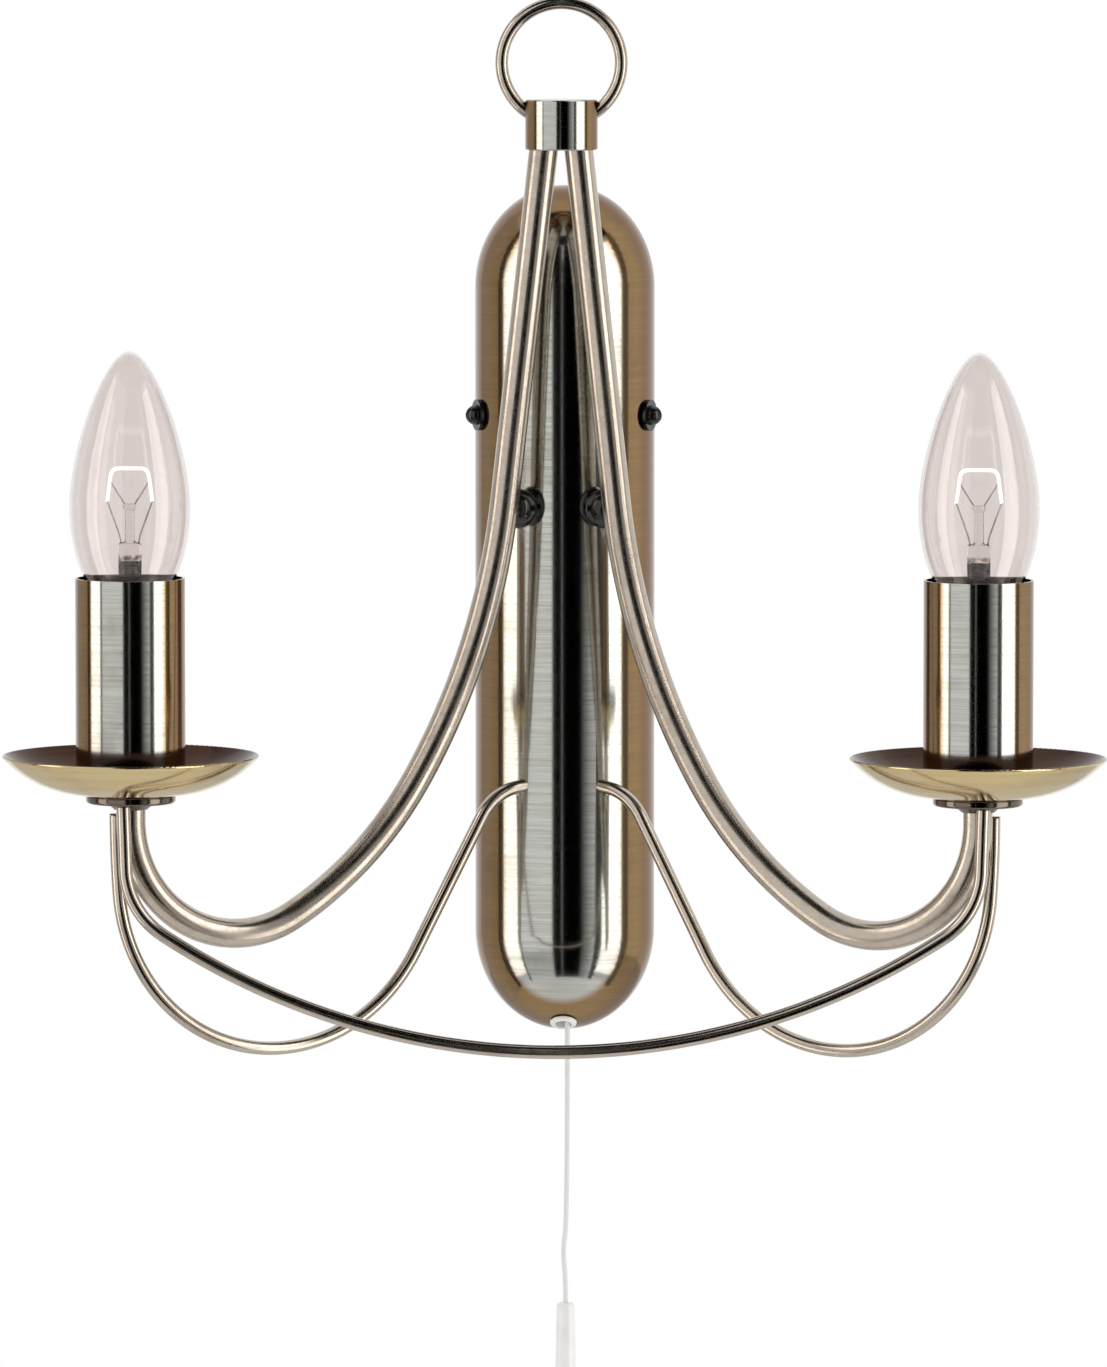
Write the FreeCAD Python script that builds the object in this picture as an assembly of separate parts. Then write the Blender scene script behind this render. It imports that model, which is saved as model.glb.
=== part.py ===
"""Double arm wall sconce: a back cover on a wall bracket, two bent arms with candle lights and a pull cord.

Frame: millimetres, +Z up. The wall is the plane y = 0 and the sconce stands in front of it, towards -Y.
The origin is the middle of the wall bracket's back face. "Depth" means the distance in front of the wall.
"""

import FreeCAD, Part

import math
import os
from dataclasses import dataclass

V = FreeCAD.Vector
UP = V(0, 0, 1)
SIDES = {"left": -1, "right": 1}

# ---------------------------------------------------------------- driving dimensions

# Back cover: a half-round shell of revolution with elliptical ends
COVER_RADIUS = 26.9
COVER_LENGTH = 254.0
COVER_END_BEYOND = 3.6
COVER_WALL = 0.9

# Wall bracket: a strap with two fixing holes, and a cross piece whose ears take the side screws
STRAP_WIDTH = 26.0
STRAP_SHORT = 24.0
STRAP_CORNER = 7.0
SHEET = 1.5
FIXING_SPACING = 150.0
FIXING_HOLE_RADIUS = 2.25
EAR_HEIGHT = 14.0
EAR_MARGIN = 5.5
EAR_INSET = 2.4
BEND_RADIUS = 2.4
CABLE_ENTRY_BELOW = 28.0
CABLE_HOLE_RADIUS = 6.0
CABLE_BORE_RADIUS = 4.5
BUSH_FLANGE = 1.6

# Side screws: they clamp the cover to the bracket's ears
SCREW_HEIGHT = 58.6
SCREW_ANGLE = 21.0
SCREW_RADIUS = 2.0
SCREW_FLANGE_RADIUS = 4.65
SCREW_FLANGE = 1.0
SCREW_HEAD_RADIUS = 3.0
SCREW_HEAD = 3.2
SCREW_SLOT = 0.8
SCREW_SLOT_DEPTH = 1.1
SCREW_REACH = 3.0

# Collar and the ring above it
COLLAR_HEIGHT = 14.8
COLLAR_ABOVE_COVER = 11.5
COLLAR_BEFORE_COVER = 3.1
COLLAR_RIM = 0.55
COLLAR_BREAK = 0.35
RING_RADIUS = 17.7
RING_WIRE = 1.9
RING_RISE = 10.9
RING_INSET = 2.6

# Arms: hollow tube bent in one upright plane each, swung out from the wall
LIGHT_SPACING = 246.8
LIGHT_SEAT = -49.8
ARM_RADIUS = 4.3
ARM_WALL = 1.0
ARM_SWING = 28.0
ARM_SOCKET = 6.5
ARM_END_GAP = 0.37
ARM_LEAN = 7.2
ARM_SWEEP_END = 37.0
ARM_ELBOW_START = 62.0
ARM_MID_RADIUS = 117.0
ARM_ELBOW_RADIUS = 32.7
ARM_TOP_STRAIGHT = 5.0

# Stand-offs between cover and arms
STANDOFF_HEIGHT = 32.0
STANDOFF_RADIUS = 6.0
STANDOFF_NECK = 3.6
STANDOFF_SPIGOT = 3.0
STANDOFF_INSIDE = 4.8
STANDOFF_BORE = 2.2
STANDOFF_NUT_RADIUS = 5.4
STANDOFF_NUT = 2.4

# Wires: the two braces and the tie rod
WIRE_RADIUS = 2.0
BRACE_HOLE_ACROSS = 12.4
BRACE_HOLE_HEIGHT = -51.5
BRACE_OUTWARD = 42.0
BRACE_GAP_BELOW_SEAT = 3.4
BRACE_START = 80.0
BRACE_SHANK = 29.0
BRACE_BELLY_END = 167.0
BRACE_HOOK_RADIUS = 24.0
BRACE_TIP_RADIUS = 115.0
BRACE_TAIL = 6.9
BRACE_LEAD = 1.0
BRACE_PROUD = 0.5
BRACE_NUT_RADIUS = 3.6
BRACE_NUT = 2.2
TIE_OFFSET = 1.5
TIE_LOW = -121.9
TIE_SHOULDER = 24.0
TIE_LEAN = 7.0
TIE_END_RADIUS = 47.0

# Arm flange, pan seat and drip pan
FLANGE_FLARE = 2.3
FLANGE_FOOT = 0.6
FLANGE_HEIGHT = 1.9
FLANGE_LIP = 0.5
SEAT_RADIUS = 13.1
SEAT_THICKNESS = 2.6
SEAT_ROUND = 0.9
PAN_RADIUS = 37.3
PAN_DEPTH = 10.7
PAN_FLAT = 13.0
PAN_WALL = 0.8

# Nipple that clamps each light together
NIPPLE_RADIUS = 4.95
NIPPLE_BORE = 2.2
NIPPLE_LENGTH = 10.0

# Candle tube and lamp holder
CANDLE_RADIUS = 16.0
CANDLE_WALL = 0.7
CANDLE_LENGTH = 62.1
HOLDER_RADIUS = 12.0
HOLDER_ROUND = 1.0
HOLDER_ABOVE_NECK = 1.0
HOLDER_FLOOR = 2.4
HOLDER_WALL = 2.4
HOLDER_WEB = 3.6
HOLDER_BELOW_LAMP = 5.0
HOLDER_NUT_RADIUS = 8.0
HOLDER_NUT = 3.0
CONTACT_RADIUS = 3.2
CONTACT_STEM_RADIUS = 2.2
CONTACT_RIVET = 1.5
CONTACT_RIVET_LIP = 1.0
CONTACT_ROUND = 1.2

# Lamp: clear candle bulb with a small screw cap
LAMP_TIP_ABOVE_TUBE = 66.1
LAMP_LENGTH = 100.0
LAMP_RADIUS = 17.55
LAMP_TIP_BLUNT = 7.0
LAMP_WIDEST_DOWN = 45.5
LAMP_FLANK_PULL = 17.2
LAMP_BELLY_PULL = 22.0
LAMP_NECK_RADIUS = 6.2
LAMP_NECK_DOWN = 79.0
LAMP_NECK_PULL = 4.0
LAMP_NECK = 2.4
LAMP_GLASS = 0.7
CAP_RADIUS = 6.95
CAP_WALL = 0.35
CAP_INSULATOR = 2.4
CAP_TIP_RADIUS = 2.3
CAP_TIP = 1.0
CAP_TAPER = 1.0
CAP_FLOOR = 1.0
MOUNT_FLARE = 7.0
MOUNT_TUBE_RADIUS = 3.4
MOUNT_TUBE = 16.0
MOUNT_PINCH_DEPTH = 1.5
MOUNT_PINCH_LOW = 20.9
MOUNT_PINCH_TOP = 25.6
MOUNT_ROD_RADIUS = 1.4
MOUNT_BUTTON_RADIUS = 2.0
MOUNT_BUTTON_LOW = 35.4
MOUNT_BUTTON_TOP = 37.0
LEAD_RADIUS = 0.25
LEAD_FOOT = 2.6
LEAD_SPREAD = 6.6
LEAD_TOP = 37.8
FILAMENT_RADIUS = 0.45
FILAMENT_SPREAD = 5.2
FILAMENT_TOP = 47.2
FILAMENT_CORNER = 1.6
SUPPORT_FOOT = 1.4
SUPPORT_HOLDS_AT = 0.6

# Pull switch inside the cover, its bush in the cover's lower end, and the cord
SWITCH_RADIUS = 9.0
SWITCH_ABOVE_FOOT = 47.0
SWITCH_LENGTH = 26.0
SWITCH_WALL = 1.5
SWITCH_BLOCK_WIDTH = 14.0
SWITCH_BLOCK_MARGIN = 2.0
SWITCH_CORD_HOLE = 1.5
SWITCH_CAP = 2.0
TAG_SPACING = 11.0
TAG_THICKNESS = 3.0
TAG_WIDTH = 6.0
TAG_HEIGHT = 5.0
PLUNGER_HEAD = 4.0
PLUNGER_BELOW_TOP = 10.5
PLUNGER_STEM_RADIUS = 2.4
PLUNGER_STEM = 3.6
ROTOR_RADIUS = 6.0
ROTOR_CORE_RADIUS = 4.2
ROTOR_LOBE_RADIUS = 1.9
ROTOR_DEPTH = 4.5
ROTOR_LOBES = 4
ROTOR_PIN_RADIUS = 1.5
SPRING_RADIUS = 5.6
SPRING_WIRE = 0.7
BUSH_RADIUS = 4.0
BUSH_BARREL = 3.1
BUSH_BORE = 2.5
BUSH_FACE = 1.0
BUSH_ROUND = 0.7
BUSH_TAIL = 1.8
CORD_RADIUS = 0.75
CORD_ARC_SHARE = 0.45
CORD_POINTS = [
    (1.2, -12.6, -124.9),
    (1.2, -12.6, -184.0),
    (-0.2, -12.6, -192.5),
    (0.7, -12.6, -201.0),
    (0.7, -12.6, -208.5),
]
HANDLE_TOP_RADIUS = 2.7
HANDLE_FOOT_RADIUS = 3.5
HANDLE_LENGTH = 34.0
HANDLE_ROUND = 1.2

# Terminal block and earth screw on the bracket
TERMINAL_WAYS = 3
TERMINAL_PITCH = 9.0
TERMINAL_WIDTH = 17.0
TERMINAL_BASE = 4.0
TERMINAL_TOWER = 4.4
TERMINAL_TOWER_WIDTH = 6.0
TERMINAL_TOWER_LENGTH = 7.65
TERMINAL_MARGIN = 1.0
TERMINAL_WIRE_HOLE = 1.4
TERMINAL_SCREW_SPACING = 8.5
TERMINAL_ABOVE = 6.0
TERMINAL_SCREW_RADIUS = 1.5
TERMINAL_SCREW = 2.8
EARTH_SHARE = 0.6
EARTH_RADIUS = 2.0
EARTH_HEAD_RADIUS = 3.8
EARTH_HEAD = 2.6
SLOT_WIDTH = 0.6
SLOT_DEPTH = 1.0

# Named clearances
RUNNING = 0.06
SEATED = 0.05
LOOSE = 0.1
SCREW_PLAY = 0.15
SCREWED_IN = 0.08
CUT_PAST = 3.0
SAME = 0.001

# ---------------------------------------------------------------- sizes that follow from them

COVER_TOP = COVER_LENGTH / 2
COVER_END = COVER_RADIUS + COVER_END_BEYOND
STRAP_TOP = COVER_TOP - STRAP_SHORT
ARM_SPREAD = (ARM_RADIUS + ARM_END_GAP / 2) / math.cos(math.radians(ARM_SWING))
ARM_SPREAD += ARM_SOCKET * math.tan(math.radians(ARM_LEAN))
COLLAR_RADIUS = ARM_SPREAD + ARM_RADIUS + COLLAR_RIM
COLLAR_DEPTH = COVER_RADIUS + COLLAR_BEFORE_COVER
COLLAR_BOTTOM = COVER_TOP + COLLAR_ABOVE_COVER
COLLAR_TOP = COLLAR_BOTTOM + COLLAR_HEIGHT
LIGHT_X = LIGHT_SPACING / 2
LIGHT_DEPTH = COLLAR_DEPTH + LIGHT_X * math.tan(math.radians(ARM_SWING))
SEAT_TOP = LIGHT_SEAT + SEAT_THICKNESS
PAN_FLOOR = SEAT_TOP + PAN_WALL
PAN_CURVE = ((PAN_RADIUS - PAN_FLAT) ** 2 + PAN_DEPTH**2) / (2 * PAN_DEPTH)
CANDLE_PAST_FLAT = max(0.0, CANDLE_RADIUS - PAN_FLAT)
CANDLE_SEAT = SEAT_TOP + SEATED + PAN_CURVE
CANDLE_SEAT -= math.sqrt((PAN_CURVE - PAN_WALL) ** 2 - CANDLE_PAST_FLAT**2)
CANDLE_TOP = CANDLE_SEAT + CANDLE_LENGTH
LAMP_TIP = CANDLE_TOP + LAMP_TIP_ABOVE_TUBE
LAMP_NECK_TOP = LAMP_TIP - LAMP_NECK_DOWN
LAMP_FOOT = LAMP_TIP - LAMP_LENGTH
MOUNT_FOOT = LAMP_NECK_TOP - LAMP_NECK
HOLDER_TOP = LAMP_NECK_TOP + HOLDER_ABOVE_NECK
HOLDER_WEB_TOP = LAMP_FOOT - HOLDER_BELOW_LAMP
SWITCH_ACROSS, SWITCH_DEPTH = CORD_POINTS[0][0], -CORD_POINTS[0][1]
SWITCH_TOP = SWITCH_ABOVE_FOOT - COVER_TOP
SWITCH_LOW = SWITCH_TOP - SWITCH_LENGTH
PLUNGER_LOW = SWITCH_TOP - PLUNGER_BELOW_TOP
TAG_TOP = SWITCH_TOP + SWITCH_CAP + TAG_HEIGHT
EARTH_HEIGHT = -CABLE_ENTRY_BELOW + EARTH_SHARE * (TAG_TOP + CABLE_ENTRY_BELOW)


# ---------------------------------------------------------------- helpers


def direction(heading):
    """Unit step (across, up) for a heading in degrees: 0 is straight down, 90 outwards, 180 straight up."""
    a = math.radians(heading)
    return math.sin(a), -math.cos(a)


def arc_step(radius, start, end):
    """Travel (across, up) along an arc that turns from one heading to another, either way."""
    a, b = math.radians(start), math.radians(end)
    radius = math.copysign(radius, end - start)
    return radius * (math.cos(a) - math.cos(b)), -radius * (math.sin(b) - math.sin(a))


def solve_two(a, b, target):
    """Lengths x and y for which x * a + y * b reaches the target, all in (across, up)."""
    det = a[0] * b[1] - a[1] * b[0]
    x = (target[0] * b[1] - target[1] * b[0]) / det
    y = (a[0] * target[1] - a[1] * target[0]) / det
    return x, y


@dataclass
class BendPlane:
    """An upright plane in which a tube or wire is bent: a foot point and a level direction."""

    foot: FreeCAD.Vector
    across: FreeCAD.Vector

    def point(self, across, up):
        """Point of the frame at this distance across and this height."""
        return self.foot + self.across * across + UP * up

    def along(self, heading):
        """Direction of the frame for a heading in this plane."""
        across, up = direction(heading)
        return self.across * across + UP * up


@dataclass
class Bend:
    """A path of lines and tangent arcs in a bend plane, which grows from its start."""

    plane: BendPlane
    across: float
    up: float
    heading: float

    def __post_init__(self):
        self.edges = []
        self.start = (self.across, self.up, self.heading)

    def line(self, length):
        """Goes straight on."""
        step = direction(self.heading)
        begin = self.plane.point(self.across, self.up)
        self.across += length * step[0]
        self.up += length * step[1]
        self.edges.append(Part.LineSegment(begin, self.plane.point(self.across, self.up)).toShape())
        return self

    def arc(self, radius, end):
        """Turns steadily to a new heading."""
        begin = self.plane.point(self.across, self.up)
        half = arc_step(radius, self.heading, (self.heading + end) / 2)
        middle = self.plane.point(self.across + half[0], self.up + half[1])
        step = arc_step(radius, self.heading, end)
        self.across += step[0]
        self.up += step[1]
        self.heading = end
        self.edges.append(Part.Arc(begin, middle, self.plane.point(self.across, self.up)).toShape())
        return self

    def bar(self, radius):
        """Round bar of this radius along the path."""
        across, up, heading = self.start
        return swept(self.edges, self.plane.point(across, up), self.plane.along(heading), radius)


def swept(edges, start, heading, radius):
    """Round bar along tangent edges."""
    ring = Part.Wire(Part.makeCircle(radius, start, heading))
    return Part.Wire(edges).makePipeShell([ring], True, True)


def turned(outline, x=0.0, y=0.0, angle=360.0):
    """Solid of revolution about an upright axis, from a list of edges or of (radius, height) corners."""
    if not hasattr(outline[0], "Curve"):
        corners = [V(r, 0, z) for r, z in outline]
        outline = Part.makePolygon(corners + corners[:1]).Edges
    solid = Part.Face(Part.Wire(outline)).revolve(V(0, 0, 0), UP, angle)
    solid.translate(V(x, y, 0))
    return solid


def tube(outer, inner, low, high, x=0.0, y=0.0):
    """Upright tube between two heights."""
    return turned([(inner, low), (outer, low), (outer, high), (inner, high)], x, y)


def rod(radius, start, end):
    """Cylinder between two points."""
    return Part.makeCylinder(radius, (end - start).Length, start, end - start)


def block(low, high):
    """Box between two corners."""
    size = [b - a for a, b in zip(low, high)]
    return Part.makeBox(*size, V(*low))


def rims(solid, radius):
    """Round edges of this radius on a solid."""
    circles = [e for e in solid.Edges if isinstance(e.Curve, Part.Circle)]
    return [e for e in circles if abs(e.Curve.Radius - radius) < SAME]


def radial(side, angle):
    """Level direction square to the half-round cover, at an angle from the wall."""
    a = math.radians(angle)
    return V(side * math.cos(a), -math.sin(a), 0)


def rounded_corner(before, corner, after, begin, reach):
    """Straight edge up to a corner and the arc round it, which starts and ends this far from the corner."""
    u, w = (before - corner).normalize(), (after - corner).normalize()
    half = math.acos(u.dot(w)) / 2
    first, last = corner + u * reach, corner + w * reach
    middle = corner + (u + w).normalize() * reach * (1 / math.cos(half) - math.tan(half))
    return Part.LineSegment(begin, first).toShape(), Part.Arc(first, middle, last).toShape()


def rounded_path(points, radius):
    """Edges of a path through corner points, its corners rounded to one radius."""
    edges, begin = [], points[0]
    for before, corner, after in zip(points, points[1:], points[2:]):
        half = (before - corner).getAngle(after - corner) / 2
        edges += rounded_corner(before, corner, after, begin, radius / math.tan(half))
        begin = edges[-1].Vertexes[-1].Point
    edges.append(Part.LineSegment(begin, points[-1]).toShape())
    return edges


# ---------------------------------------------------------------- back cover and bracket


def cover_profile(radius, end, top):
    """Half outline of a round-ended body: an elliptical quarter at each end and a straight side."""
    centre = V(0, 0, top - end)
    foot = V(0, 0, -centre.z)
    upper = Part.Ellipse(centre + UP * end, centre + V(radius, 0, 0), centre)
    lower = Part.Ellipse(foot - UP * end, foot + V(radius, 0, 0), foot)
    quarter = math.pi / 2
    return [
        Part.Arc(upper, 0, quarter).toShape(),
        Part.LineSegment(centre + V(radius, 0, 0), foot + V(radius, 0, 0)).toShape(),
        Part.Arc(lower, 0, quarter).toShape(),
        Part.LineSegment(foot - UP * end, centre + UP * end).toShape(),
    ]


def half_body(radius, end, top):
    """Front half of the round-ended body, cut off at the wall."""
    solid = turned(cover_profile(radius, end, top), angle=180)
    solid.rotate(V(0, 0, 0), UP, 180)
    return solid


def bush_axis():
    """Where the cord bush sits, under the switch, and the direction square to the cover's end there."""
    turn = math.asin(SWITCH_DEPTH / COVER_RADIUS)
    lean = math.atan(math.tan(turn) * COVER_END / COVER_RADIUS)
    drop = COVER_TOP - COVER_END + COVER_END * math.cos(turn)
    return V(0, -SWITCH_DEPTH, -drop), V(0, -math.sin(lean), -math.cos(lean))


def arm_at(height):
    """Distance of an arm's centre line from the collar's axis at a height, and its heading there."""
    straight, radius = arm_lengths()
    straight -= ARM_SOCKET
    across, up = direction(ARM_LEAN)
    fall = COLLAR_BOTTOM - height
    left = fall + straight * up
    if left <= 0:
        return ARM_SPREAD - fall * across / up, ARM_LEAN
    lean = math.radians(ARM_LEAN)
    heading = math.asin(left / radius + math.sin(lean))
    bowed = radius * (math.cos(lean) - math.cos(heading))
    return ARM_SPREAD + straight * across + bowed, math.degrees(heading)


def standoff_axis(side):
    """Foot of a stand-off on the cover's axis, its level direction towards the arm, and its reach."""
    reach, _ = arm_at(STANDOFF_HEIGHT)
    swing = math.radians(ARM_SWING)
    aim = V(side * reach * math.cos(swing), -COLLAR_DEPTH - reach * math.sin(swing), 0)
    return UP * STANDOFF_HEIGHT, V(aim).normalize(), aim.Length


def back_cover():
    """Pressed half-round shell with holes for the side screws, stand-offs, braces and cord bush."""
    inner = (COVER_RADIUS - COVER_WALL, COVER_END - COVER_WALL, COVER_TOP - COVER_WALL)
    shell = half_body(COVER_RADIUS, COVER_END, COVER_TOP).cut(half_body(*inner))
    past = COVER_RADIUS + CUT_PAST
    seat, out = bush_axis()
    cutters = [rod(BUSH_BARREL + SEATED, seat - out * CUT_PAST, seat + out * CUT_PAST)]
    for side in SIDES.values():
        level, ray = UP * SCREW_HEIGHT, radial(side, SCREW_ANGLE)
        cutters.append(rod(SCREW_RADIUS + SCREW_PLAY, level + ray * EAR_MARGIN, level + ray * past))
        foot, aim, _ = standoff_axis(side)
        cutters.append(rod(STANDOFF_SPIGOT + SEATED, foot + aim * STANDOFF_NECK, foot + aim * past))
        begin, way = brace_end(side)
        cutters.append(rod(WIRE_RADIUS + SEATED, begin, begin + way * (BRACE_TAIL + CUT_PAST)))
    return shell.cut(cutters)


def ear_plane():
    """Distance from the cover's axis to the middle of the sheet of the bracket's ears."""
    return COVER_RADIUS - COVER_WALL - EAR_INSET - SHEET / 2


def cross_piece():
    """Folded sheet across the bracket, its ears square to the side screws."""
    angle, half = math.radians(SCREW_ANGLE), SHEET / 2
    length = ear_plane() * math.tan(angle) - half / math.cos(angle) + EAR_MARGIN
    foot, ear = [], []
    for side in (1, -1):
        foot.append(V(side * (ear_plane() / math.cos(angle) - half * math.tan(angle)), -half, 0))
        ear.append(foot[-1] + V(-side * math.sin(angle), -math.cos(angle), 0) * length)
    path = rounded_path([ear[0], foot[0], foot[1], ear[1]], BEND_RADIUS)
    flat = (foot[0] - ear[0]).normalize().cross(UP) * half
    rise = UP * EAR_HEIGHT / 2
    rim = [ear[0] + flat + rise, ear[0] - flat + rise, ear[0] - flat - rise, ear[0] + flat - rise]
    cross = Part.Wire(path).makePipeShell([Part.makePolygon(rim + rim[:1])], True, True)
    cross.translate(UP * SCREW_HEIGHT)
    return cross


def wall_bracket():
    """Strap with rounded ends, fixing holes and a folded cross piece."""
    strap = block((-STRAP_WIDTH / 2, -SHEET, -STRAP_TOP), (STRAP_WIDTH / 2, 0, STRAP_TOP))
    corners = [e for e in strap.Edges if abs(e.tangentAt(e.FirstParameter).y) > 1 - SAME]
    strap = strap.makeFillet(STRAP_CORNER, corners)
    bracket = strap.fuse(cross_piece()).removeSplitter()
    holes = [(CABLE_HOLE_RADIUS, -CABLE_ENTRY_BELOW), (EARTH_RADIUS, EARTH_HEIGHT)]
    holes += [(FIXING_HOLE_RADIUS, sign * FIXING_SPACING / 2) for sign in (-1, 1)]
    cutters = [rod(radius, V(0, -CUT_PAST, z), V(0, CUT_PAST, z)) for radius, z in holes]
    for side in SIDES.values():
        level, ray = UP * SCREW_HEIGHT, radial(side, SCREW_ANGLE)
        inside = level + ray * (ear_plane() - CUT_PAST)
        cutters.append(rod(SCREW_RADIUS + RUNNING, inside, level + ray * COVER_RADIUS))
    return bracket.cut(cutters)


def cable_bush():
    """Rubber bush that lines the bracket's cable hole, flush with the wall."""
    z = -CABLE_ENTRY_BELOW
    barrel = rod(CABLE_HOLE_RADIUS - SEATED, V(0, -SHEET - SEATED, z), V(0, 0, z))
    flange = rod(CABLE_HOLE_RADIUS + BUSH_FLANGE, V(0, -SHEET - BUSH_FLANGE, z), V(0, -SHEET - SEATED, z))
    return barrel.fuse(flange).cut(rod(CABLE_BORE_RADIUS, V(0, -SHEET - CUT_PAST, z), V(0, CUT_PAST, z)))


def side_screw(side):
    """Side screw: a domed head on a flange, slotted, and a shank that ends in the bracket's ear."""
    top = SCREW_FLANGE + SCREW_HEAD
    corners = [(0, top), (0, 0), (SCREW_FLANGE_RADIUS, 0), (SCREW_FLANGE_RADIUS, SCREW_FLANGE)]
    corners = [V(radius, 0, z) for radius, z in corners + [(SCREW_HEAD_RADIUS, SCREW_FLANGE)]]
    diagonal = math.sqrt(0.5)
    shoulder = V(SCREW_HEAD_RADIUS * diagonal, 0, SCREW_FLANGE + SCREW_HEAD * diagonal)
    dome = Part.Arc(corners[-1], shoulder, corners[0]).toShape()
    half = SCREW_SLOT / 2
    slot = block((-SCREW_HEAD_RADIUS, -half, top - SCREW_SLOT_DEPTH), (SCREW_HEAD_RADIUS, half, top))
    seat = COVER_RADIUS + SCREW_PLAY
    shank = seat - ear_plane() + SHEET / 2 + SCREW_REACH
    head = turned(Part.makePolygon(corners).Edges + [dome]).cut(slot)
    screw = head.fuse(Part.makeCylinder(SCREW_RADIUS, shank, V(0, 0, 0), -UP))
    ray = radial(side, SCREW_ANGLE)
    screw.Placement = FreeCAD.Placement(UP * SCREW_HEIGHT + ray * seat, FreeCAD.Rotation(UP, ray))
    return screw


def terminal_heights():
    """Heights of the connector strip's ways."""
    return [TERMINAL_ABOVE + TERMINAL_PITCH / 2 + way * TERMINAL_PITCH for way in range(TERMINAL_WAYS)]


def terminal_places():
    """Where the terminal screws stand: two across each way of the strip."""
    return [(hand * TERMINAL_SCREW_SPACING / 2, z) for z in terminal_heights() for hand in (-1, 1)]


def terminal_block():
    """Connector strip: a base with two screw towers and a wire hole for each way."""
    half, base = TERMINAL_WIDTH / 2, -SHEET - TERMINAL_BASE
    front, level, rise = base - TERMINAL_TOWER, base - TERMINAL_MARGIN, TERMINAL_TOWER_WIDTH / 2
    high = TERMINAL_ABOVE + TERMINAL_WAYS * TERMINAL_PITCH
    towers, cutters = [], []
    for x, z in terminal_places():
        near, far = sorted((0, math.copysign(TERMINAL_TOWER_LENGTH, x)))
        towers.append(block((near, front, z - rise), (far, base, z + rise)))
        cutters.append(rod(TERMINAL_SCREW_RADIUS + LOOSE, V(x, front - CUT_PAST, z), V(x, level, z)))
    for z in terminal_heights():
        cutters.append(rod(TERMINAL_WIRE_HOLE, V(-half, level, z), V(half, level, z)))
    return block((-half, base, TERMINAL_ABOVE), (half, -SHEET, high)).fuse(towers).cut(cutters)


def terminal_screws():
    """Grub screws of the connector strip, with their slots."""
    tip = -SHEET - TERMINAL_BASE - TERMINAL_MARGIN
    screws = []
    for x, z in terminal_places():
        screw = rod(TERMINAL_SCREW_RADIUS, V(x, tip, z), V(x, tip - TERMINAL_SCREW, z))
        screws.append(screw.cut(driver_slot(x, tip - TERMINAL_SCREW, z, TERMINAL_SCREW_RADIUS)))
    return Part.makeCompound(screws)


def driver_slot(x, front, z, radius):
    """Cutter for the slot in a screw whose head faces away from the wall."""
    half = SLOT_WIDTH / 2
    return block((x - radius, front, z - half), (x + radius, front + SLOT_DEPTH, z + half))


def earth_screw():
    """Pan-head earth screw in the bracket."""
    z, seat = EARTH_HEIGHT, -SHEET - SEATED
    head = rod(EARTH_HEAD_RADIUS, V(0, seat, z), V(0, seat - EARTH_HEAD, z))
    front = [e for e in head.Edges if len(e.Vertexes) == 1 and e.CenterOfMass.y < seat - EARTH_HEAD / 2]
    head = head.makeFillet(EARTH_HEAD / 2, front)
    shank = rod(EARTH_RADIUS - SEATED, V(0, seat - EARTH_HEAD / 2, z), V(0, 0, z))
    return head.fuse(shank).cut(driver_slot(0, seat - EARTH_HEAD, z, EARTH_HEAD_RADIUS))


# ---------------------------------------------------------------- collar, ring and arms


def arm_plane(side):
    """Upright plane of an arm, from the collar's axis outwards and away from the wall."""
    swing = math.radians(ARM_SWING)
    return BendPlane(V(0, -COLLAR_DEPTH, 0), V(side * math.cos(swing), -math.sin(swing), 0))


def arm_lengths():
    """Top straight's length and sweep's radius with which an arm reaches its light."""
    step = direction(ARM_LEAN)
    reach = LIGHT_X / math.cos(math.radians(ARM_SWING)) - ARM_SPREAD - step[0] * -ARM_SOCKET
    fall = LIGHT_SEAT - COLLAR_BOTTOM - ARM_SOCKET * -step[1]
    sweep = arc_step(ARM_MID_RADIUS, ARM_SWEEP_END, ARM_ELBOW_START)
    elbow = arc_step(ARM_ELBOW_RADIUS, ARM_ELBOW_START, 180)
    target = (reach - sweep[0] - elbow[0], fall - sweep[1] - elbow[1] - ARM_TOP_STRAIGHT)
    return solve_two(step, arc_step(1, ARM_LEAN, ARM_SWEEP_END), target)


def arm_path(side):
    """Centre line of an arm, from its end in the collar to the pan seat."""
    straight, sweep = arm_lengths()
    step = direction(ARM_LEAN)
    across, up = ARM_SPREAD - ARM_SOCKET * step[0], COLLAR_BOTTOM - ARM_SOCKET * step[1]
    path = Bend(arm_plane(side), across, up, ARM_LEAN)
    path.line(straight).arc(sweep, ARM_SWEEP_END).arc(ARM_MID_RADIUS, ARM_ELBOW_START)
    return path.arc(ARM_ELBOW_RADIUS, 180).line(ARM_TOP_STRAIGHT)


def arm(side):
    """Hollow bent tube with a wire hole where its stand-off meets it."""
    foot, aim, reach = standoff_axis(side)
    wire_hole = rod(STANDOFF_BORE, foot + aim * (reach - ARM_RADIUS - CUT_PAST), foot + aim * reach)
    path = arm_path(side)
    return path.bar(ARM_RADIUS).cut([path.bar(ARM_RADIUS - ARM_WALL), wire_hole])


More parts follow.
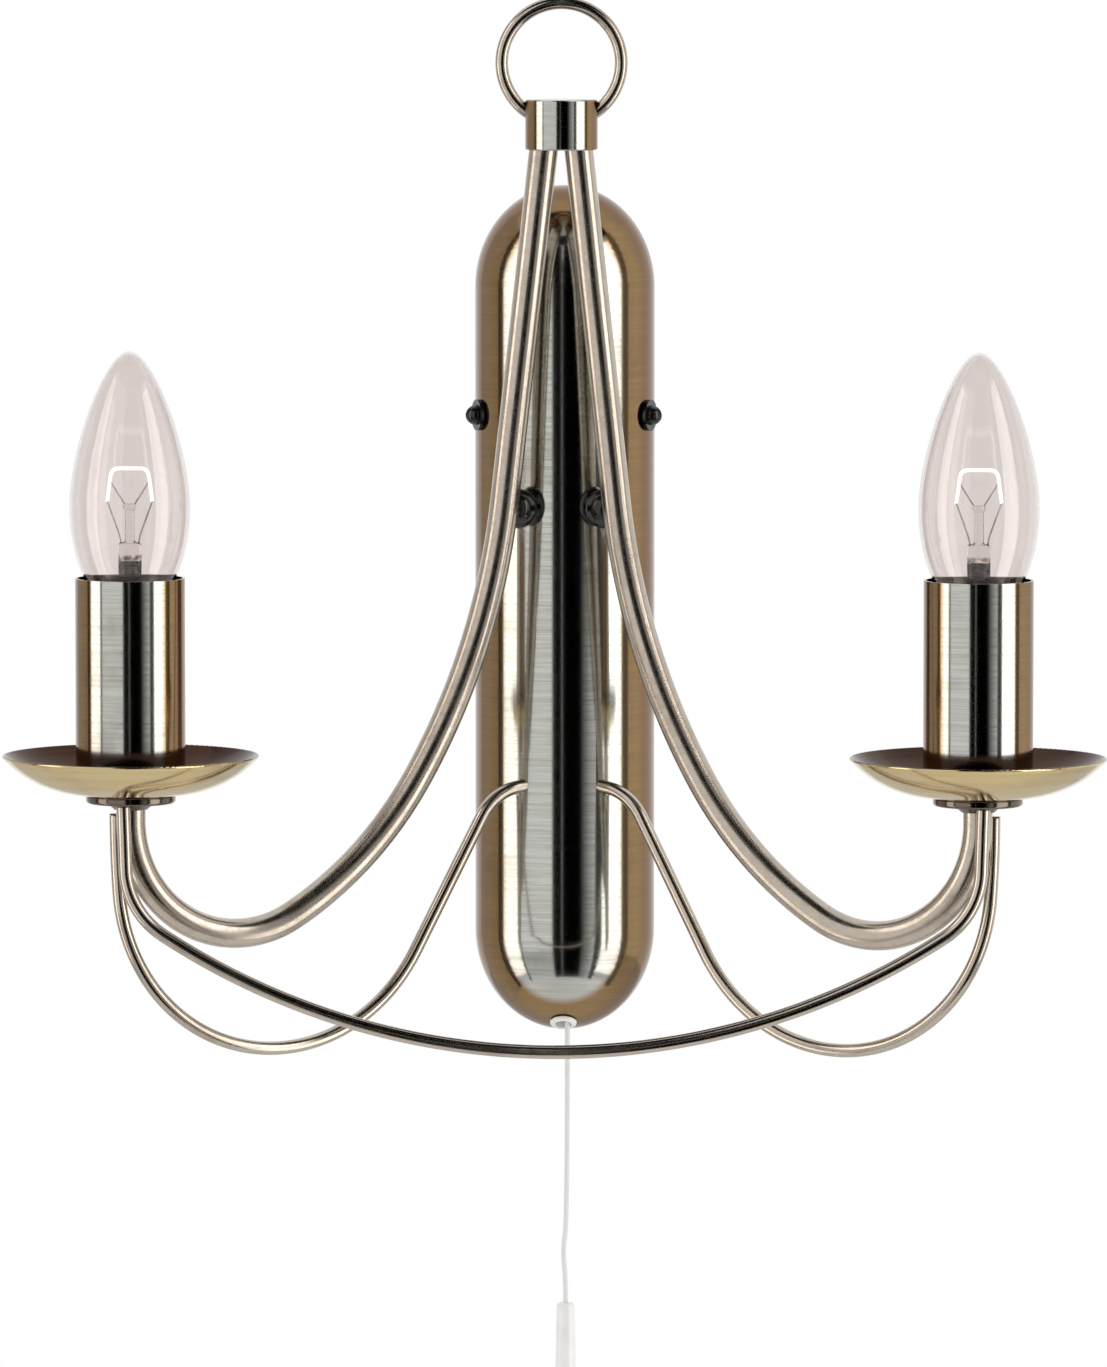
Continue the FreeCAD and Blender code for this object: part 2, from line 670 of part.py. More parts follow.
def standoff(side):
    """Hollow turned stand-off: a ball with necks that seat on the cover and round the back of the arm."""
    foot, aim, reach = standoff_axis(side)
    spigot_end, past = COVER_RADIUS - COVER_WALL - STANDOFF_INSIDE, STANDOFF_RADIUS + CUT_PAST
    spigot = rod(STANDOFF_SPIGOT, foot + aim * spigot_end, foot + aim * COVER_RADIUS)
    neck = rod(STANDOFF_NECK, foot + aim * (COVER_RADIUS - COVER_WALL), foot + aim * reach)
    ball = Part.makeSphere(STANDOFF_RADIUS, foot + aim * (COVER_RADIUS + reach - ARM_RADIUS) / 2)
    cover = rod(COVER_RADIUS, foot - UP * past, foot + UP * past)
    across, heading = arm_at(STANDOFF_HEIGHT)
    beside, way = arm_plane(side).point(across, STANDOFF_HEIGHT), arm_plane(side).along(heading) * past
    saddle = rod(ARM_RADIUS + SEATED, beside - way, beside + way)
    bore = rod(STANDOFF_BORE, foot, foot + aim * reach)
    return neck.fuse(ball).cut([cover, saddle]).fuse(spigot).cut(bore)


def standoff_nuts():
    """Round nuts that hold the stand-offs from inside the cover."""
    nuts = []
    for side in SIDES.values():
        foot, aim, _ = standoff_axis(side)
        inside = COVER_RADIUS - COVER_WALL
        face = math.sqrt(inside**2 - STANDOFF_NUT_RADIUS**2) - SEATED
        nut = rod(STANDOFF_NUT_RADIUS, foot + aim * (face - STANDOFF_NUT), foot + aim * face)
        nuts.append(nut.cut(rod(STANDOFF_SPIGOT + SEATED, foot, foot + aim * inside)))
    return Part.makeCompound(nuts)


def ring_path():
    """Centre line of the ring: an open circle whose ends go into the collar's sides."""
    foot_across = COLLAR_RADIUS - RING_INSET
    turn = math.degrees(math.asin(foot_across / RING_RADIUS))
    plane = BendPlane(V(0, -COLLAR_DEPTH, 0), V(1, 0, 0))
    rise = COLLAR_TOP + RING_RISE - math.sqrt(RING_RADIUS**2 - foot_across**2)
    return Bend(plane, foot_across, rise, 90 + turn).arc(RING_RADIUS, 450 - turn)


def top_ring():
    """Round wire ring that stands on the collar."""
    return ring_path().bar(RING_WIRE)


def collar():
    """Short turned cylinder, drilled for the arms from below and for the ring at its sides."""
    body = rod(COLLAR_RADIUS, V(0, -COLLAR_DEPTH, COLLAR_BOTTOM), V(0, -COLLAR_DEPTH, COLLAR_TOP))
    body = body.makeChamfer(COLLAR_BREAK, rims(body, COLLAR_RADIUS))
    cutters = [ring_path().bar(RING_WIRE + SEATED)]
    for side in SIDES.values():
        plane = arm_plane(side)
        mouth, way = plane.point(ARM_SPREAD, COLLAR_BOTTOM), plane.along(ARM_LEAN)
        socket = mouth - way * (ARM_SOCKET + SEATED)
        cutters.append(rod(ARM_RADIUS + SEATED, socket, mouth + way * ARM_RADIUS))
    return body.cut(cutters)


def brace_path(side):
    """Centre line of a brace: from inside the cover, down and out, then up beside the arm's end."""
    depth = math.sqrt(COVER_RADIUS**2 - BRACE_HOLE_ACROSS**2)
    beside = ARM_RADIUS + WIRE_RADIUS + SEATED
    turn = math.radians(BRACE_OUTWARD)
    end_x, end_depth = LIGHT_X + beside * math.cos(turn), LIGHT_DEPTH - beside * math.sin(turn)
    span = V(side * (end_x - BRACE_HOLE_ACROSS), depth - end_depth, 0)
    plane = BendPlane(V(side * BRACE_HOLE_ACROSS, -depth, 0), V(span).normalize())
    across, up = direction(BRACE_START)
    path = Bend(plane, -BRACE_TAIL * across, BRACE_HOLE_HEIGHT - BRACE_TAIL * up, BRACE_START)
    path.line(BRACE_TAIL + BRACE_LEAD).arc(BRACE_HOOK_RADIUS, BRACE_SHANK)
    tip = arc_step(BRACE_TIP_RADIUS, BRACE_BELLY_END, 180)
    target = (span.Length - path.across - tip[0], LIGHT_SEAT - BRACE_GAP_BELOW_SEAT - path.up - tip[1])
    shank, belly = solve_two(direction(BRACE_SHANK), arc_step(1, BRACE_SHANK, BRACE_BELLY_END), target)
    return path.line(shank).arc(belly, BRACE_BELLY_END).arc(BRACE_TIP_RADIUS, 180)


def brace_end(side):
    """Inner end of a brace and the direction in which it leaves the cover."""
    path = brace_path(side)
    across, up, heading = path.start
    return path.plane.point(across, up), path.plane.along(heading)


def brace(side):
    """Bent wire between the cover and the arm's end."""
    return brace_path(side).bar(WIRE_RADIUS)


def brace_nuts():
    """Nuts on the braces' ends inside the cover."""
    nuts = []
    for side in SIDES.values():
        begin, way = brace_end(side)
        nut = rod(BRACE_NUT_RADIUS, begin + way * BRACE_PROUD, begin + way * (BRACE_PROUD + BRACE_NUT))
        nuts.append(nut.cut(rod(WIRE_RADIUS + SEATED, begin, begin + way * BRACE_TAIL)))
    return Part.makeCompound(nuts)


def tie_rod():
    """Bowed wire in front, from under one pan seat to under the other."""
    beside = ARM_RADIUS + FLANGE_FLARE + WIRE_RADIUS + SEATED
    depth = LIGHT_DEPTH + math.sqrt(beside**2 - TIE_OFFSET**2)
    half_span = LIGHT_X + TIE_OFFSET
    top = LIGHT_SEAT - SEATED - WIRE_RADIUS * math.sin(math.radians(TIE_LEAN))
    shoulder = 90 - TIE_SHOULDER
    end = arc_step(TIE_END_RADIUS, TIE_LEAN, shoulder)
    target = (half_span - end[0], TIE_LOW - top - end[1])
    straight, bow = solve_two(direction(shoulder), arc_step(1, shoulder, 90), target)
    path = Bend(BendPlane(V(0, -depth, 0), V(1, 0, 0)), -half_span, top, TIE_LEAN)
    path.arc(TIE_END_RADIUS, shoulder).line(straight).arc(bow, 180 - shoulder)
    return path.line(straight).arc(TIE_END_RADIUS, 180 - TIE_LEAN).bar(WIRE_RADIUS)


# ---------------------------------------------------------------- lights


def at_light(side, solid):
    """Moves a solid from the upright axis at the origin to a light's axis."""
    solid.translate(V(side * LIGHT_X, -LIGHT_DEPTH, 0))
    return solid


def arm_flange(side):
    """Flared ring at the arm's end, under the pan seat."""
    bore, foot, flare = ARM_RADIUS + SEATED, ARM_RADIUS + FLANGE_FOOT, ARM_RADIUS + FLANGE_FLARE
    low = LIGHT_SEAT - FLANGE_HEIGHT
    outline = [(bore, low), (foot, low), (flare, LIGHT_SEAT - FLANGE_LIP), (flare, LIGHT_SEAT)]
    return at_light(side, turned(outline + [(bore, LIGHT_SEAT)]))


def pan_seat(side):
    """Thick disc with a rounded edge that carries the drip pan."""
    disc = tube(SEAT_RADIUS, ARM_RADIUS - ARM_WALL, LIGHT_SEAT, SEAT_TOP)
    return at_light(side, disc.makeFillet(SEAT_ROUND, rims(disc, SEAT_RADIUS)))


def pan_sweep():
    """Angle of the drip pan's arc, from its flat bottom to its rim."""
    return math.atan2(PAN_RADIUS - PAN_FLAT, PAN_CURVE - PAN_DEPTH)


def pan_curve(inset):
    """Arc of the drip pan, drawn in by an inset: its start, middle and end. It's level at its start."""
    centre = V(PAN_FLAT, 0, SEAT_TOP + PAN_CURVE)
    turns = [pan_sweep() * share for share in (0, 0.5, 1)]
    return [centre + V(math.sin(turn), 0, -math.cos(turn)) * (PAN_CURVE - inset) for turn in turns]


def drip_pan(side):
    """Shallow spun dish with a flat bottom, a rounded rim and a hole for the nipple."""
    out, back = pan_curve(0), pan_curve(PAN_WALL)
    rim = (out[2] + back[2]) / 2 + V(math.cos(pan_sweep()), 0, math.sin(pan_sweep())) * PAN_WALL / 2
    hole = NIPPLE_RADIUS + LOOSE
    outline = [
        Part.LineSegment(V(hole, 0, SEAT_TOP), out[0]).toShape(),
        Part.Arc(*out).toShape(),
        Part.Arc(out[2], rim, back[2]).toShape(),
        Part.Arc(back[2], back[1], back[0]).toShape(),
        Part.LineSegment(back[0], V(hole, 0, PAN_FLOOR)).toShape(),
        Part.LineSegment(V(hole, 0, PAN_FLOOR), V(hole, 0, SEAT_TOP)).toShape(),
    ]
    return at_light(side, turned(outline))


def nipple(side):
    """Hollow threaded stud: its spigot is in the arm and its shoulder clamps the seat, pan and holder."""
    spigot = ARM_RADIUS - ARM_WALL - SEATED
    foot, top = LIGHT_SEAT - ARM_TOP_STRAIGHT + LOOSE, PAN_FLOOR + NIPPLE_LENGTH
    outline = [(NIPPLE_BORE, foot), (spigot, foot), (spigot, SEAT_TOP), (NIPPLE_RADIUS, SEAT_TOP)]
    return at_light(side, turned(outline + [(NIPPLE_RADIUS, top), (NIPPLE_BORE, top)]))


def holder_nut(side):
    """Hexagon nut that holds the lamp holder down on the pan."""
    low = PAN_FLOOR + HOLDER_FLOOR
    turns = [math.pi / 3 * corner for corner in range(7)]
    corners = [V(math.cos(a), math.sin(a), 0) * HOLDER_NUT_RADIUS + UP * low for a in turns]
    nut = Part.Face(Part.makePolygon(corners)).extrude(UP * HOLDER_NUT)
    return at_light(side, nut.cut(rod(NIPPLE_RADIUS + SEATED, UP * low, UP * (low + HOLDER_NUT))))


def lamp_holder(side):
    """Candle lamp holder: wiring chamber below, screw bore above and a web between them."""
    hole, bore, chamber = NIPPLE_RADIUS + LOOSE, CAP_RADIUS + SCREWED_IN, HOLDER_RADIUS - HOLDER_WALL
    floor, web_low = PAN_FLOOR + HOLDER_FLOOR, HOLDER_WEB_TOP - HOLDER_WEB
    stem = CONTACT_STEM_RADIUS + SEATED
    body = rod(HOLDER_RADIUS, UP * PAN_FLOOR, UP * HOLDER_TOP)
    body = body.makeFillet(HOLDER_ROUND, [e for e in rims(body, HOLDER_RADIUS) if e.CenterOfMass.z > floor])
    spaces = [(hole, PAN_FLOOR, floor), (chamber, floor, web_low), (stem, web_low, HOLDER_WEB_TOP)]
    spaces.append((bore, HOLDER_WEB_TOP, HOLDER_TOP))
    return at_light(side, body.cut([rod(radius, UP * low, UP * high) for radius, low, high in spaces]))


def holder_contact(side):
    """Sprung centre contact: a rivet through the holder's web with a domed head under the lamp."""
    rivet, tip = CONTACT_STEM_RADIUS + CONTACT_RIVET_LIP, LAMP_FOOT - LOOSE
    web_low, web_top = HOLDER_WEB_TOP - HOLDER_WEB - SEATED, HOLDER_WEB_TOP + SEATED
    low = web_low - CONTACT_RIVET
    outline = [(0, low), (rivet, low), (rivet, web_low), (CONTACT_STEM_RADIUS, web_low)]
    outline += [(CONTACT_STEM_RADIUS, web_top), (CONTACT_RADIUS, web_top)]
    outline += [(CONTACT_RADIUS, tip - CONTACT_ROUND), (CONTACT_RADIUS - CONTACT_ROUND, tip), (0, tip)]
    return at_light(side, turned(outline))


def candle_tube(side):
    """Plain sleeve that stands on the pan round the lamp holder."""
    return at_light(side, tube(CANDLE_RADIUS, CANDLE_RADIUS - CANDLE_WALL, CANDLE_SEAT, CANDLE_TOP))


def bulb_body(inset):
    """Candle-shaped body of revolution, drawn in by a wall: two curves that meet at the widest height."""
    tip, widest, neck = LAMP_TIP - inset, LAMP_TIP - LAMP_WIDEST_DOWN, LAMP_NECK_TOP
    wide, narrow = LAMP_RADIUS - inset, LAMP_NECK_RADIUS - inset
    flank = [(0, tip), (LAMP_TIP_BLUNT, tip), (wide, widest + LAMP_FLANK_PULL), (wide, widest)]
    belly = [(wide, widest), (wide, widest - LAMP_BELLY_PULL)]
    belly += [(narrow, neck + LAMP_NECK_PULL), (narrow, neck)]
    outline = []
    for poles in (flank, belly):
        curve = Part.BezierCurve()
        curve.setPoles([V(radius, 0, height) for radius, height in poles])
        outline.append(curve.toShape())
    corners = [V(narrow, 0, neck), V(narrow, 0, MOUNT_FOOT), V(0, 0, MOUNT_FOOT), V(0, 0, tip)]
    return turned(outline + Part.makePolygon(corners).Edges)


def lamp_glass(side):
    """Clear candle bulb, open at its neck."""
    return at_light(side, bulb_body(0).cut(bulb_body(LAMP_GLASS)))


def lamp_cap(side):
    """Screw cap with its insulator and centre contact."""
    shelf, low = LAMP_FOOT + CAP_TIP, LAMP_FOOT + CAP_TIP + CAP_INSULATOR
    inner, floor = CAP_RADIUS - CAP_WALL, low + CAP_FLOOR
    outline = [(0, LAMP_FOOT), (CAP_TIP_RADIUS, LAMP_FOOT), (CAP_TIP_RADIUS, shelf)]
    outline += [(CAP_RADIUS - CAP_TAPER, low), (CAP_RADIUS, low), (CAP_RADIUS, LAMP_NECK_TOP)]
    return at_light(side, turned(outline + [(inner, LAMP_NECK_TOP), (inner, floor), (0, floor)]))


def pinch_wire(depth, height):
    """Closed oval round the upright axis, as wide as the mount's tube."""
    curve = Part.Circle(UP * height, UP, MOUNT_TUBE_RADIUS)
    if depth < MOUNT_TUBE_RADIUS:
        curve = Part.Ellipse(UP * height, MOUNT_TUBE_RADIUS, depth)
    return Part.Wire(curve.toShape())


def lamp_mount(side):
    """Glass mount inside the bulb: a flared tube pinched flat at its top, and a rod with a button."""
    low, flare = MOUNT_FOOT, LAMP_NECK_RADIUS - LAMP_GLASS - SEATED
    tube_top = low + MOUNT_TUBE
    outline = [(0, low), (flare, low), (MOUNT_TUBE_RADIUS, low + MOUNT_FLARE), (MOUNT_TUBE_RADIUS, tube_top)]
    flat = pinch_wire(MOUNT_PINCH_DEPTH, low + MOUNT_PINCH_LOW)
    shoulder = Part.makeLoft([pinch_wire(MOUNT_TUBE_RADIUS, tube_top), flat], True)
    pinch = Part.Face(flat).extrude(UP * (MOUNT_PINCH_TOP - MOUNT_PINCH_LOW))
    stem = rod(MOUNT_ROD_RADIUS, UP * (low + MOUNT_PINCH_LOW), UP * (low + MOUNT_BUTTON_LOW))
    button = rod(MOUNT_BUTTON_RADIUS, UP * (low + MOUNT_BUTTON_LOW), UP * (low + MOUNT_BUTTON_TOP))
    return at_light(side, turned(outline + [(0, tube_top)]).fuse([shoulder, pinch, stem, button]))


def lead(foot, end):
    """Thin wire from a level face to a point, raised so that the edge of its foot just clears the face."""
    way = (end - foot).normalize()
    return rod(LEAD_RADIUS, foot + UP * (SEATED + LEAD_RADIUS * math.hypot(way.x, way.y)), end)


def filament(side):
    """Arched filament, its two lead-in wires and its two supports on the button."""
    tip, arch = MOUNT_FOOT + LEAD_TOP, MOUNT_FOOT + FILAMENT_TOP
    pinch, button = MOUNT_FOOT + MOUNT_PINCH_TOP, MOUNT_FOOT + MOUNT_BUTTON_TOP
    half = [V(-LEAD_SPREAD, 0, tip), V(-FILAMENT_SPREAD, 0, arch)]
    points = half + [V(FILAMENT_SPREAD, 0, arch), V(LEAD_SPREAD, 0, tip)]
    coil = swept(rounded_path(points, FILAMENT_CORNER), points[0], half[1] - half[0], FILAMENT_RADIUS)
    wires = []
    for hand, end, corner in ((-1, *half), (1, points[3], points[2])):
        held = end + (corner - end) * SUPPORT_HOLDS_AT
        wires.append(lead(V(hand * LEAD_FOOT, 0, pinch), end))
        wires.append(lead(V(hand * SUPPORT_FOOT, 0, button), held))
    return at_light(side, coil.fuse(wires))


# ---------------------------------------------------------------- pull switch and cord


def at_switch(solid):
    """Moves a solid from the upright axis at the origin to the switch's axis."""
    solid.translate(V(SWITCH_ACROSS, -SWITCH_DEPTH, 0))
    return solid


def plunger_bore():
    """Radius of the bore that the plunger runs in."""
    return SWITCH_RADIUS - SWITCH_WALL


def switch_housing():
    """Moulded cup with a flat back against the bracket, a plunger bore and a cord hole in its floor."""
    half, margin = SWITCH_BLOCK_WIDTH / 2, SWITCH_BLOCK_MARGIN
    cup = rod(SWITCH_RADIUS, UP * SWITCH_LOW, UP * SWITCH_TOP)
    back = block((-half, 0, SWITCH_LOW + margin), (half, SWITCH_DEPTH - SHEET, SWITCH_TOP - margin))
    bore = rod(plunger_bore(), UP * (SWITCH_LOW + SWITCH_WALL), UP * SWITCH_TOP)
    hole = rod(SWITCH_CORD_HOLE, UP * SWITCH_LOW, UP * SWITCH_TOP)
    return at_switch(cup.fuse(back).cut([bore, hole]))


def switch_cap():
    """Lid with the switch's two tags."""
    lid = rod(SWITCH_RADIUS, UP * SWITCH_TOP, UP * (SWITCH_TOP + SWITCH_CAP))
    lid = lid.cut(rod(ROTOR_PIN_RADIUS + RUNNING, UP * SWITCH_TOP, UP * (SWITCH_TOP + SWITCH_CAP)))
    low = SWITCH_TOP + SWITCH_CAP
    tags = []
    for hand in (-1, 1):
        near, far = sorted(hand * (TAG_SPACING + edge * TAG_THICKNESS) / 2 for edge in (-1, 1))
        tags.append(block((near, -TAG_WIDTH / 2, low), (far, TAG_WIDTH / 2, low + TAG_HEIGHT)))
    return at_switch(lid.fuse(tags))


def switch_rotor():
    """Ratchet rotor that each pull turns, on a pin in the lid."""
    high = SWITCH_TOP - SEATED - LOOSE
    low = high - ROTOR_DEPTH
    lobes = []
    for index in range(ROTOR_LOBES):
        turn = 2 * math.pi * index / ROTOR_LOBES
        centre = V(math.cos(turn), math.sin(turn), 0) * (ROTOR_RADIUS - ROTOR_LOBE_RADIUS)
        lobes.append(rod(ROTOR_LOBE_RADIUS, centre + UP * low, centre + UP * high))
    pin = rod(ROTOR_PIN_RADIUS, UP * (low + high) / 2, UP * (SWITCH_TOP + SWITCH_CAP))
    return at_switch(rod(ROTOR_CORE_RADIUS, UP * low, UP * high).fuse(lobes + [pin]))


def switch_plunger():
    """Plunger with a stem that the cord is tied to."""
    top, foot = PLUNGER_LOW + PLUNGER_HEAD, PLUNGER_LOW - PLUNGER_STEM
    head = plunger_bore() - RUNNING
    outline = [(0, foot), (PLUNGER_STEM_RADIUS, foot), (PLUNGER_STEM_RADIUS, PLUNGER_LOW)]
    return at_switch(turned(outline + [(head, PLUNGER_LOW), (head, top), (0, top)]))


def switch_spring():
    """Return spring under the plunger's head, drawn as the sleeve it fills."""
    low = SWITCH_LOW + SWITCH_WALL + SEATED
    return at_switch(tube(SPRING_RADIUS, SPRING_RADIUS - SPRING_WIRE, low, PLUNGER_LOW - SEATED))


def cord_bush():
    """White ring in the cover's lower end, with a barrel through the sheet and a rounded face."""
    seat, out = bush_axis()
    face = rod(BUSH_RADIUS, seat + out * SEATED, seat + out * (SEATED + BUSH_FACE))
    outer = max(rims(face, BUSH_RADIUS), key=lambda e: e.CenterOfMass.dot(out))
    face = face.makeFillet(BUSH_ROUND, [outer])
    barrel = rod(BUSH_BARREL, seat - out * BUSH_TAIL, seat + out * (SEATED + BUSH_FACE / 2))
    return face.fuse(barrel).cut(rod(BUSH_BORE, seat - out * CUT_PAST, seat + out * CUT_PAST))


def cord_tail():
    """The cord's inner length, from the plunger through the switch and the bush."""
    return at_switch(rod(CORD_RADIUS, UP * CORD_POINTS[0][2], UP * (PLUNGER_LOW - PLUNGER_STEM)))


def pull_cord():
    """The cord's free length: straight runs joined by arcs as large as the runs allow."""
    points = [V(*p) for p in CORD_POINTS]
    edges, begin = [], points[0]
    for before, corner, after in zip(points, points[1:], points[2:]):
        reach = CORD_ARC_SHARE * min((corner - before).Length, (after - corner).Length)
        straight, arc = rounded_corner(before, corner, after, begin, reach)
        print(f"pull_cord arc radius {arc.Curve.Radius:.1f} mm")
        edges += [straight, arc]
        begin = arc.Vertexes[-1].Point
    edges.append(Part.LineSegment(begin, points[-1]).toShape())
    length = sum(e.Length for e in edges)
    cord = swept(edges, points[0], points[1] - points[0], CORD_RADIUS)
    print(f"pull_cord length {length:.2f} mm, volume {cord.Volume:.3f}, section times length", end=" ")
    print(f"{math.pi * CORD_RADIUS**2 * length:.3f} mm3")
    return cord


def pull_handle():
    """Slim moulded pull, wider at its foot, with rounded ends."""
    x, y, top = CORD_POINTS[-1]
    foot = top - HANDLE_LENGTH
    solid = turned([(0, foot), (HANDLE_FOOT_RADIUS, foot), (HANDLE_TOP_RADIUS, top), (0, top)], x, y)
    return solid.makeFillet(HANDLE_ROUND, rims(solid, HANDLE_FOOT_RADIUS) + rims(solid, HANDLE_TOP_RADIUS))


# ---------------------------------------------------------------- assembly

SINGLE = [
    back_cover,
    wall_bracket,
    cable_bush,
    terminal_block,
    terminal_screws,
    earth_screw,
    collar,
    top_ring,
    standoff_nuts,
    brace_nuts,
    tie_rod,
    switch_housing,
    switch_cap,
    switch_rotor,
    switch_plunger,
    switch_spring,
    cord_bush,
    cord_tail,
    pull_cord,
    pull_handle,
]
PAIRED = [
    side_screw,
    arm,
    standoff,
    brace,
    arm_flange,
    pan_seat,
    drip_pan,
    nipple,
    holder_nut,
    lamp_holder,
    holder_contact,
    candle_tube,
    lamp_glass,
    lamp_cap,
    lamp_mount,
    filament,
]


def main():
    """Builds each node and writes it to its own file."""
    os.makedirs("parts", exist_ok=True)
    nodes = {make.__name__: make() for make in SINGLE}
    for make in PAIRED:
        for name, side in SIDES.items():
            nodes[f"{make.__name__}_{name}"] = make(side)
    for name, shape in nodes.items():
        if not shape.isValid() or shape.Volume <= 0:
            print(f"{name} isn't a valid solid")
        shape.exportStep(f"parts/{name}.step")
    print(f"{len(nodes)} nodes written")


main()
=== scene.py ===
"""Looks for the double arm wall sconce: relieved antique brass, clear candle lamps and a white pull cord.

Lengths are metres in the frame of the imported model, where +Z is up. The wall is the plane y = 0, and the
sconce stands in front of it, towards -Y. "Azimuth" turns about +Z from -Y, the camera's side, towards +X.
A "share" runs from 0 to 1. Numbers in millimetres say so in their names.
"""

import logging
import math
from dataclasses import dataclass
from enum import Enum
from typing import ClassVar, Iterable, Mapping, Sequence, Union

import bmesh
import bpy
import numpy as np
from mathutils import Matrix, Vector


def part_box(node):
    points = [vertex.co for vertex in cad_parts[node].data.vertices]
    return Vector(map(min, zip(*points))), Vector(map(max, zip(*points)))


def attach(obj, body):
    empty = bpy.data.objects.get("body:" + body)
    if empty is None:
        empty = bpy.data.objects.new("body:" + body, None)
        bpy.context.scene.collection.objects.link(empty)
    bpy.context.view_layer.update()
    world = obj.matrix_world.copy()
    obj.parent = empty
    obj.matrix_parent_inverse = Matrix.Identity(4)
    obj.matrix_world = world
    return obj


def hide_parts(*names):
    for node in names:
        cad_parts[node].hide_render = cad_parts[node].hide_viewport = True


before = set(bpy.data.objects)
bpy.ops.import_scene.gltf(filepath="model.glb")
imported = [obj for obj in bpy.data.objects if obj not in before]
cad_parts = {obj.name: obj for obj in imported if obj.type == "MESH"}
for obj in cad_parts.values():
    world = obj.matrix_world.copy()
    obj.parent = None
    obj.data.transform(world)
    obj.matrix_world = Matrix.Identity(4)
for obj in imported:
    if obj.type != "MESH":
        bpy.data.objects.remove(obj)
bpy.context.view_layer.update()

LOG = logging.getLogger("sconce")
MM = 0.001
SIDES = ("left", "right")
HANDS = (-1.0, 1.0)
TINY = 1e-5
Colour = tuple[float, float, float]
Pair = tuple[float, float]
Surface = tuple[np.ndarray, np.ndarray]

PALE: Colour = (0.53, 0.54, 0.50)
PEWTER: Colour = (0.52, 0.46, 0.39)
# Dark brass colour that paints shade on the arm flanges and pan seats.
PAINTED_SHADE_BRASS: Colour = (0.16, 0.14, 0.12)
# Gold and brown are the painted reflection on the flanks of turned brass.
GOLD: Colour = (0.31, 0.20, 0.095)
BROWN: Colour = (0.18, 0.092, 0.04)
STRAW: Colour = (0.66, 0.52, 0.28)
# Umber is the painted shade on the inner face of a dish.
UMBER: Colour = (0.05, 0.025, 0.018)
PATINA: Colour = (0.13, 0.085, 0.05)
WHITE: Colour = (1.0, 1.0, 1.0)

# ---------------------------------------------------------------- shader helpers


class Value:
    """A number, vector or colour in a shader, so that shader maths reads as an expression."""

    def __init__(self, graph: "Graph", socket: bpy.types.NodeSocket) -> None:
        """Wraps one output socket.

        Args:
            graph: the graph that the socket belongs to.
            socket: the output socket.
        """
        self.graph = graph
        self.socket = socket

    def __add__(self, other: "Term") -> "Value":
        """Sum of two numbers."""
        return self.graph.math("ADD", self, other)

    __radd__ = __add__

    def __sub__(self, other: "Term") -> "Value":
        """This number less the other."""
        return self.graph.math("SUBTRACT", self, other)

    def __rsub__(self, other: "Term") -> "Value":
        """The other number less this one."""
        return self.graph.math("SUBTRACT", other, self)

    def __mul__(self, other: "Term") -> "Value":
        """Product of two numbers."""
        return self.graph.math("MULTIPLY", self, other)

    __rmul__ = __mul__

    def __truediv__(self, other: "Term") -> "Value":
        """This number over the other."""
        return self.graph.math("DIVIDE", self, other)

    def __abs__(self) -> "Value":
        """This number without its sign."""
        return self.graph.math("ABSOLUTE", self)


Term = Union[Value, float]


